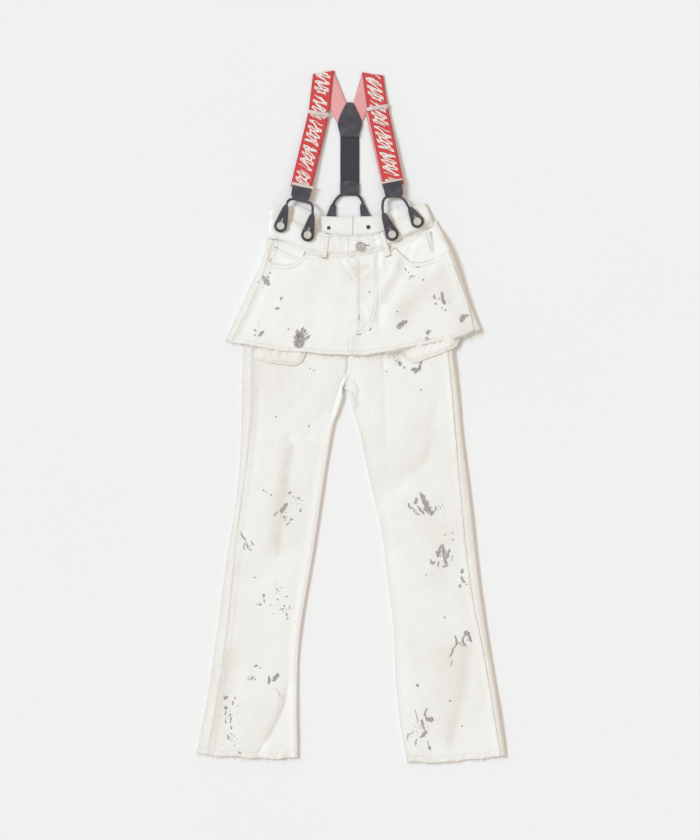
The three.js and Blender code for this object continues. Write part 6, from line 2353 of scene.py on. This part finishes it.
class Fringe:
    """Loose threads drawn out of the raw edges, each a bent and tapering yarn."""

    RINGS = 6

    def __init__(self, ground: Ground) -> None:
        """Makes one straight yarn and keeps the ground it hangs from."""
        self.ground = ground
        bm = bmesh.new()
        bmesh.ops.create_cone(bm, cap_ends=False, segments=5, radius1=1, radius2=0.35, depth=1)
        standing = [edge for edge in bm.edges if abs(edge.verts[0].co.z - edge.verts[1].co.z) > 0.5]
        bmesh.ops.subdivide_edges(bm, edges=standing, cuts=self.RINGS)
        self.template = bm
        self.shape = template_points(bm)

    def thread(self, root: np.ndarray, way: np.ndarray, length: float, bend: float, curl: float,
               drop: float,
               thick: float) -> np.ndarray:
        """One thread's points.

        Args:
            root: Where it leaves the cloth, in millimetres.
            way: Unit vector on the table along which it leaves.
            length: Its length.
            bend: How far its tip is swept sideways, in shares of its length.
            curl: How strongly it waves.
            drop: How far its tip hangs below its root.
            thick: Its radius at the root.
        """
        side = np.array([-way[1], way[0], 0.0])
        x, y, z = self.shape.T
        t = z + 0.5
        swing = bend * t**2 + curl * np.sin(5 * t) * t
        centre = (root + np.outer(t * length, way) + np.outer(swing * length, side)
                  - np.outer(drop * t**1.6, (0, 0, 1)))
        centre[:, 2] = np.maximum(centre[:, 2], 0.4)
        return centre + np.outer(x * thick, side) + np.outer(y * thick, (0, 0, 1))

    def build(self, name: str, edges: Sequence[FrayedEdge], wardrobe: Wardrobe) -> bpy.types.Object:
        """Draws the threads of several edges as one piece.

        Args:
            name: The piece's name.
            edges: The raw edges.
            wardrobe: The garment's materials.
        """
        clouds = []
        for edge in edges:
            rng = np.random.default_rng(edge.seed)
            for reach in rng.uniform(0, edge.line.length, edge.count):
                place = edge.line.along(reach)
                run = edge.line.along(reach + 1) - edge.line.along(reach - 1)
                run = run / np.linalg.norm(run)
                out = np.array([-run[1], run[0], 0.0]) * edge.outward
                root = place[:2] - out[:2] * edge.inset
                found = self.ground.drop(float(root[0]), float(root[1]))
                if found is None:
                    continue
                lean = rng.normal(0, 0.55)
                way = out + lean * np.array([run[0], run[1], 0.0])
                way /= np.linalg.norm(way)
                length = edge.length * (0.35 + rng.gamma(1.6, 0.5))
                clouds.append(self.thread(found[0] - (0, 0, 0.35 * DENIM), way, length,
                                          rng.normal(0, 0.45),
                                          rng.normal(0, 0.12), edge.drop * rng.uniform(0.6, 1.0),
                                          rng.uniform(0.2, 0.34)))
        return dress(repeat_mesh(name, self.template.copy(), clouds), wardrobe.fray, Slot.DENIM)


# ---------------------------------------------------------------- paint


@dataclass(frozen=True)
class Stroke:
    """A stroke or drop of dried paint, in millimetres: its width, how thickly it lies and its way."""

    wide: float
    strength: float
    start: Place
    middle: Place | None = None
    later: Place | None = None
    last: Place | None = None

    @property
    def path(self) -> Line:
        """The stroke's middle line, at least a millimetre long."""
        places = [place for place in (self.start, self.middle, self.later,
                                      self.last) if place is not None]
        if len(places) == 1:
            places.append((self.start[0] + 0.7, self.start[1] + 0.7))
        return Line(*places)


def splash(x: float, y: float, *marks: tuple) -> tuple[Stroke, ...]:
    """Marks that fell together, round a place in millimetres.

    Args:
        x: The splash's middle.
        y: The splash's middle.
        marks: The width, the strength and the way of each, the way counted from the middle.
    """
    return tuple(Stroke(wide, strength, *((x + right, y + up) for right, up in way))
                 for wide, strength, *way in marks)


@dataclass(frozen=True)
class Spatter:
    """A spray of tiny drops round a place, in millimetres."""

    x: float
    y: float
    reach: float
    count: int

    def drops(self, seed: int) -> list[Stroke]:
        """The drops, thicker towards the middle."""
        rng = np.random.default_rng(seed)
        made = []
        for _ in range(self.count):
            turn, far = rng.uniform(0, 2 * math.pi), abs(rng.normal(0, 0.6)) * self.reach
            place = (self.x + far * math.cos(turn), self.y + far * math.sin(turn))
            made.append(Stroke(rng.uniform(0.8, 2.0), rng.uniform(0.55, 1.0), place))
        return made


@dataclass
class PaintMarks:
    """Grey wall paint dropped and wiped on the front, as thin skins that follow the cloth."""

    skirt: tuple[Stroke, ...] = (
        # the wiped mark at the left hip, and the flecks below it
        *splash(-155, 252, (8.5, 0.9, (-7, 6), (-1, -1), (3, -8)), (3.5, 0.8, (2, 7), (3, 5)),
                (2.5, 1, (-16, -4)), (2, 0.9, (7, 12)), (4, 0.9, (28, -32), (26, -36))),
        *splash(-165, 155, (4.5, 1, (27, 44), (32, 45)), (3.5, 1, (-12, 5), (-10, 3)), (3, 1, (-12, -5)),
                (6.5, 1, (-3, -5), (3, 1)), (2.5, 1, (50, 6))),
        # the big brush wipe above the hem
        *splash(-90, 145, (18.5, 1, (-5, -11), (-4, 3)), (11, 1, (-10, -12), (-7, 9)),
                (6.5, 0.9, (-6, 0), (0, 12), (3, 19)), (5, 0.8, (-3, 4), (7, 14)),
                (5.5, 0.9, (0, -5), (8, -1), (15, 5)), (3, 0.8, (2, 2), (12, 10)),
                (3.5, 0.8, (-11, 4), (-8, 16)), (4.5, 0.9, (-2, -13), (6, -7))),
        # the blot of the right front, and the flecks up to its pocket
        *splash(94, 170, (3, 1, (-59, 60)), (3, 1, (-8, 23)), (9, 1, (-6, -3), (0, 0), (8, 5)),
                (4.5, 0.9, (-6, -7), (-1, -5))),
        *splash(115, 268, (2.5, 0.9, (-15, 6), (-12, 1)), (2.5, 0.9, (-8, -2)),
                (2, 0.9, (7, 8), (12, 8)), (3.5, 1, (19, -16))),
        # the right hip, and down to the hem's corner
        *splash(165, 215, (5, 1, (-10, 8), (-10, 4)), (5, 1, (4, 14), (5, 3)), (6, 1, (5, 2), (9, -6)),
                (3.5, 1, (-8, -7)), (2.5, 1, (3, -15)), (3.5, 1, (10, -19))),
        *splash(208, 182, (8.5, 1, (-2, -3), (1, 3)), (5, 1, (4, 5), (9, 4)), (4, 1, (-4, -6))),
        *splash(142, 150, (6.5, 1, (0, 4), (3, 7)), (3.5, 0.8, (-3, -4), (1, -7))),
        *splash(36, 160, (3, 0.8, (-1, -1), (2, 3))),
    )
    legs: tuple[Stroke, ...] = (
        # below the hem
        *splash(90, 95, (6.5, 1, (0, 5), (2, 1)), (3.5, 1, (9, -5)), (3, 1, (-24, -12))),
        *splash(122, 86, (8.5, 1, (-7, 1), (0, -1), (6, 3)), (5, 1, (5, 4), (7, 10), (9, 15)),
                (3.5, 1, (-3, -6), (0, -4))),
        *splash(-71, 87, (2.5, 0.9, (-4, 1)), (2.5, 0.9, (3, -2))),
        *splash(130, 49, (3, 1, (0, 0))),
        # the left thigh and knee
        *splash(-138, -1, (3, 1, (0, 0))), *splash(-77, -18, (3.5, 1, (0, 0))),
        *splash(-150, -140, (2.5, 0.9, (-12, 4), (-10, 3)), (2.5, 1, (-6, 0)), (3, 1, (3, -5)),
                (3.5, 1, (36, -2), (39, 0))),
        *splash(-94, -165, (3, 1, (-2, 14)), (3, 1, (2, -6), (1, -11))),
        *splash(-124, -172, (7.5, 0.95, (-5, -4), (0, 3), (6, 10)), (3, 1, (-3, -6), (7, 7)),
                (6.5, 0.6, (-16, -11), (-11, -5)), (3, 0.8, (12, -20), (17, -17)),
                (3.5, 0.6, (5, -29), (11, -24))),
        *splash(-192, -236, (3, 1, (-11, 22), (-7, 14), (-1, 6)), (2, 0.9, (-3, 5), (-6, -10)),
                (2, 0.8, (0, 3), (3, -10)), (2.5, 0.9, (8, 5), (13, -2)), (2, 0.9, (6, -8), (9, -12))),
        *splash(-177, -297, (2, 0.9, (-2, 0), (1, -1))),
        *splash(-160, -335, (3.5, 1, (-1, 6), (0, 2)), (2, 1, (0, -3), (1, -9))),
        *splash(-125, -336, (2.5, 1, (-10, -2), (-8, -3)), (2.5, 1, (5, 2), (8, 4))),
        *splash(-117, -365, (2, 1, (4, 15), (5, 9)), (2.5, 1, (-2, 2), (0, -4)),
                (2.5, 0.9, (-1, -9), (2, -8)), (2, 0.9, (-31, 16)), (2, 0.9, (-27, 0))),
        # the left shin and hem
        *splash(-150, -484, (3.5, 1, (-27, 22), (-22, 24)), (2.5, 1, (-18, 19)),
                (5, 1, (-1, -9), (0, -3), (-1, 3)), (6.5, 1, (9, -2), (16, 7)),
                (3, 0.8, (6, -5), (10, -4)), (2.5, 1, (-27, -2)), (4, 0.45, (12, -19), (24, -37))),
        *splash(-222, -528, (6, 1, (-10, 7), (-7, 9)), (5, 1, (-9, -9), (-8, -12)),
                (2.5, 1, (9, 9), (8, 6)), (2.5, 1, (5, 2), (4, -5)), (2, 1, (13, -7))),
        *splash(-225, -562, (3, 0.8, (-5, 17), (-7, 11)), (2.5, 1, (4, 6), (3, -5)),
                (3, 1, (4, -11), (5, -15)), (2.5, 0.9, (-6, 0), (-5, -5))),
        *splash(-215, -606, (3, 1, (-12, 17), (-10, 10)), (2, 1, (0, -2)), (3.5, 1, (9, -15), (12, -16))),
        # the right thigh: the spike and the wipes beside it
        *splash(136, -160, (13, 0.85, (-4, 14), (0, 2), (8, -11), (14, -19)), (5.5, 1, (-6, 19), (-3, 7)),
                (5.5, 0.9, (9, -12), (17, -20)), (6.5, 0.8, (-16, 0), (-13, 8)),
                (4, 0.9, (-29, -1), (-27, -7), (-20, -10)), (6.5, 0.55, (-23, -8), (-10, -22)),
                (3, 0.9, (21, -6), (21, -12), (19, -16)), (2, 0.9, (34, -5)),
                (5, 0.8, (-12, -5), (0, -20))),
        # the dry wipes under the right knee
        *splash(173, -250, (2.5, 1, (1, 31)), (2.5, 1, (15, 35)), (3, 1, (16, 22)),
                (6, 0.9, (-6, 12), (-11, -9)), (7.5, 0.95, (-3, 13), (0, -1), (5, -25)),
                (5.5, 0.9, (10, 4), (5, -13)), (5, 0.5, (15, -5), (14, -17))),
        *splash(160, -270, (4.5, 1, (-12, 5), (-9, -2), (-4, 1)), (3, 0.9, (3, 2), (2, -8)),
                (3.5, 0.9, (10, -8), (20, -6)), (5.5, 0.7, (-1, 21), (1, 11)), (2.5, 1, (-21, -23))),
        *splash(207, -297, (5.5, 1, (0, 13), (-1, 9)), (4.5, 1, (-1, 1), (0, -6), (4, -10)),
                (2.5, 1, (7, -14)), (3.5, 0.7, (-4, -14), (-7, -20))),
        # the runs on the right shin
        *splash(174, -372, (3.5, 1, (0, 0))),
        *splash(190, -427, (3.5, 1, (3, 22), (6, 12), (5, 4), (-1, -2)),
                (3.5, 1, (-1, -2), (-2, -10), (-7, -17)),
                (2, 0.6, (-2, -22), (-5, -36)), (3, 0.6, (7, 11), (14, 4))),
        *splash(214, -408, (9, 1, (-1, 7), (3, 6)), (5, 1, (5, 3), (9, -8)),
                (3.5, 1, (-3, 3), (-7, -6), (0, -17))),
        *splash(124, -497, (5, 1, (0, 1), (0, -1))), *splash(184, -526, (3.5, 1, (0, 0))),
        *splash(206, -573, (3, 1, (0, 0))),
        # the right hem
        *splash(142, -557, (3.5, 1, (0, 17), (-5, 8), (-2, 0)), (7.5, 1, (-1, -2), (9, -4)),
                (3.5, 0.9, (7, 1), (11, -4))),
        *splash(134, -580, (4, 1, (-2, 19), (0, 9), (3, 0)), (7.5, 1, (5, -3), (0, -10)),
                (3.5, 0.9, (1, -10), (-5, -13)), (2, 0.7, (-15, 38), (-11, 24), (-9, 13))),
        *splash(120, -598, (3.5, 0.7, (-14, 12), (-15, 0)), (3, 0.8, (2, 2), (0, -10)),
                (4.5, 1, (25, -13), (27, -17)), (2, 0.8, (23, -2), (25, -13))),
    )
    skirt_spatter: tuple[Spatter, ...] = (
        Spatter(112, 259, 8, 16), Spatter(166, 216, 15, 14), Spatter(142, 145, 11, 18),
        Spatter(-158, 252, 15, 14), Spatter(208, 182, 9, 8), Spatter(-90, 153, 17, 12),
    )
    legs_spatter: tuple[Spatter, ...] = (
        Spatter(84, 103, 13, 16), Spatter(-101, -154, 15, 16), Spatter(-123, -186, 8, 18),
        Spatter(-192, -238, 11, 12), Spatter(-167, -349, 7, 14), Spatter(-136, -321, 11, 16),
        Spatter(-125, -356, 11, 18), Spatter(-182, -484, 7, 14), Spatter(-223, -552, 18, 26),
        Spatter(-223, -595, 13, 14), Spatter(167, -169, 13, 12), Spatter(171, -258, 17, 20),
        Spatter(204, -314, 7, 10), Spatter(130, -574, 17, 22), Spatter(112, -586, 9, 12),
        Spatter(203, -419, 9, 10),
    )
    rows: int = 12
    columns: int = 6

    def skin(self, stroke: Stroke, ground: Ground, seed: int) -> tuple[np.ndarray, ...] | None:
        """One stroke's skin, or None where it would leave the cloth.

        Args:
            stroke: The stroke.
            ground: The finished cloth.
            seed: Which ragged outline it gets.

        Returns:
            Its points, how much paint lies at each, and the places along and across it.
        """
        rng = np.random.default_rng(seed)
        path = stroke.path
        run = np.linspace(-0.5 * stroke.wide, path.length + 0.5 * stroke.wide, self.rows + 1)
        way = path.along(np.clip(run, 0, path.length) + 0.4) - path.along(np.clip(run, 0,
                                                                                  path.length) - 0.4)
        way[np.linalg.norm(way, axis=1) < 1e-6] = path.samples[-1] - path.samples[0]
        way = way / np.linalg.norm(way, axis=1)[:, None]
        beyond = run - np.clip(run, 0, path.length)
        middle = path.along(np.clip(run, 0, path.length)) + way * beyond[:, None]
        share = np.linspace(0, 1, self.rows + 1)
        swell = (1 - np.abs(2 * share - 1) ** 3.5) ** 0.6
        left, right = (swell * (1 + rng.uniform(-0.45, 0.45,
                                                self.rows + 1)) * stroke.wide * 0.58 for _ in range(2))
        across = np.linspace(-1, 1, self.columns + 1)[None, :]
        offset = np.where(across < 0, across * left[:, None], across * right[:, None])
        places = np.zeros((self.rows + 1, self.columns + 1, 3))
        places[..., 0] = middle[:, None, 0] + way[:, None, 1] * offset
        places[..., 1] = middle[:, None, 1] - way[:, None, 0] * offset
        for place in places.reshape(-1, 3):
            found = ground.drop(float(place[0]), float(place[1]))
            if found is None:
                return None
            place[:] = found[0] + found[1] * 0.15
        cover = stroke.strength * (1 - 0.75 * np.abs(across) ** 2.5) * (0.35 + 0.65 * swell[:, None])
        flow = np.stack([run[:, None] * 0.2 + 0 * across, offset, np.full(offset.shape, seed * 7.3)],
                        axis=-1)
        return places, cover, flow

    def build(self, name: str, strokes: Sequence[Stroke], spatters: Sequence[Spatter], ground: Ground,
              wardrobe: Wardrobe, seed: int) -> bpy.types.Object:
        """Lays strokes and spatters as one piece.

        Args:
            name: The piece's name.
            strokes: The strokes and drops.
            spatters: The sprays of tiny drops.
            ground: The finished cloth.
            wardrobe: The garment's materials.
            seed: Which ragged outlines they get.
        """
        bm = bmesh.new()
        bmesh.ops.create_grid(bm, x_segments=self.columns, y_segments=self.rows, size=1)
        drops = (drop for k, spatter in enumerate(spatters) for drop in spatter.drops(seed + k))
        every = [*strokes, *drops]
        skins = [made for k, stroke in enumerate(every) if (made := self.skin(stroke, ground, seed + k))]
        piece = repeat_mesh(name, bm, [skin[0].reshape(-1, 3) for skin in skins])
        cover = piece.data.attributes.new("cover", "FLOAT", "POINT")
        covers = np.concatenate([skin[1].ravel() for skin in skins])
        cover.data.foreach_set("value", covers.astype(np.float32))
        flow = piece.data.attributes.new("flow", "FLOAT_VECTOR", "POINT")
        flows = np.concatenate([skin[2].ravel() for skin in skins])
        flow.data.foreach_set("vector", flows.astype(np.float32))
        return dress(piece, wardrobe.paint, Slot.DENIM)


# ---------------------------------------------------------------- assembly


def main() -> None:
    """Builds the garment and the studio."""
    logging.basicConfig(level=logging.INFO, format="%(name)s: %(message)s")
    wardrobe = Wardrobe()
    trousers = Trousers()
    legs = trousers.build(wardrobe)
    log.info("trousers: %d panels", len(legs))
    skirt = Overskirt()
    over = skirt.build(wardrobe)
    log.info("overskirt: %d panels", len(over))
    pockets = Pockets()
    bags = pockets.build(wardrobe, trousers, skirt)
    log.info("pockets: %d pieces", len(bags))
    band = Waistband()
    waist = band.build(wardrobe, skirt)
    JeansButton().build(wardrobe)
    log.info("waistband: %d pieces", len(waist))
    Suspenders().build(wardrobe)
    tabs = ButtonTabs().build(wardrobe)
    log.info("suspenders: %d tabs", len(tabs))
    ground = Ground([*legs, *over, *bags, *waist])
    Needlework(trousers, skirt, pockets, band).build(ground, wardrobe)
    fringe = Fringe(ground)
    fringe.build("fringe_skirt", [
        FrayedEdge(skirt.hem, 480, 3.4, 0.4, 1.2, 7),
        FrayedEdge(skirt.hem.part(0.5, 1.0), 420, 4.8, 0.4, 1.6, 6),
        FrayedEdge(skirt.hem.part(0.62, 0.74), 110, 10.0, 0.4, 2.4, 8),
        FrayedEdge(skirt.hem.part(0.84, 0.98), 120, 6.0, 0.4, 2.0, 9),
    ], wardrobe)
    fringe.build("fringe_legs", [
        FrayedEdge(trousers.hem[Side.LEFT], 260, 3.0, 0.5, 1.4, 17),
        FrayedEdge(trousers.hem[Side.RIGHT], 260, 3.0, 0.5, 1.4, 18),
    ], wardrobe)
    log.info("stitching and frayed edges laid")
    paint = PaintMarks()
    paint.build("paint_skirt", paint.skirt, paint.skirt_spatter, ground, wardrobe, 100)
    paint.build("paint_legs", paint.legs, paint.legs_spatter, ground, wardrobe, 300)
    log.info("paint: %d marks", len(paint.skirt) + len(paint.legs))
    Studio().build()


if __name__ == "__main__":
    main()
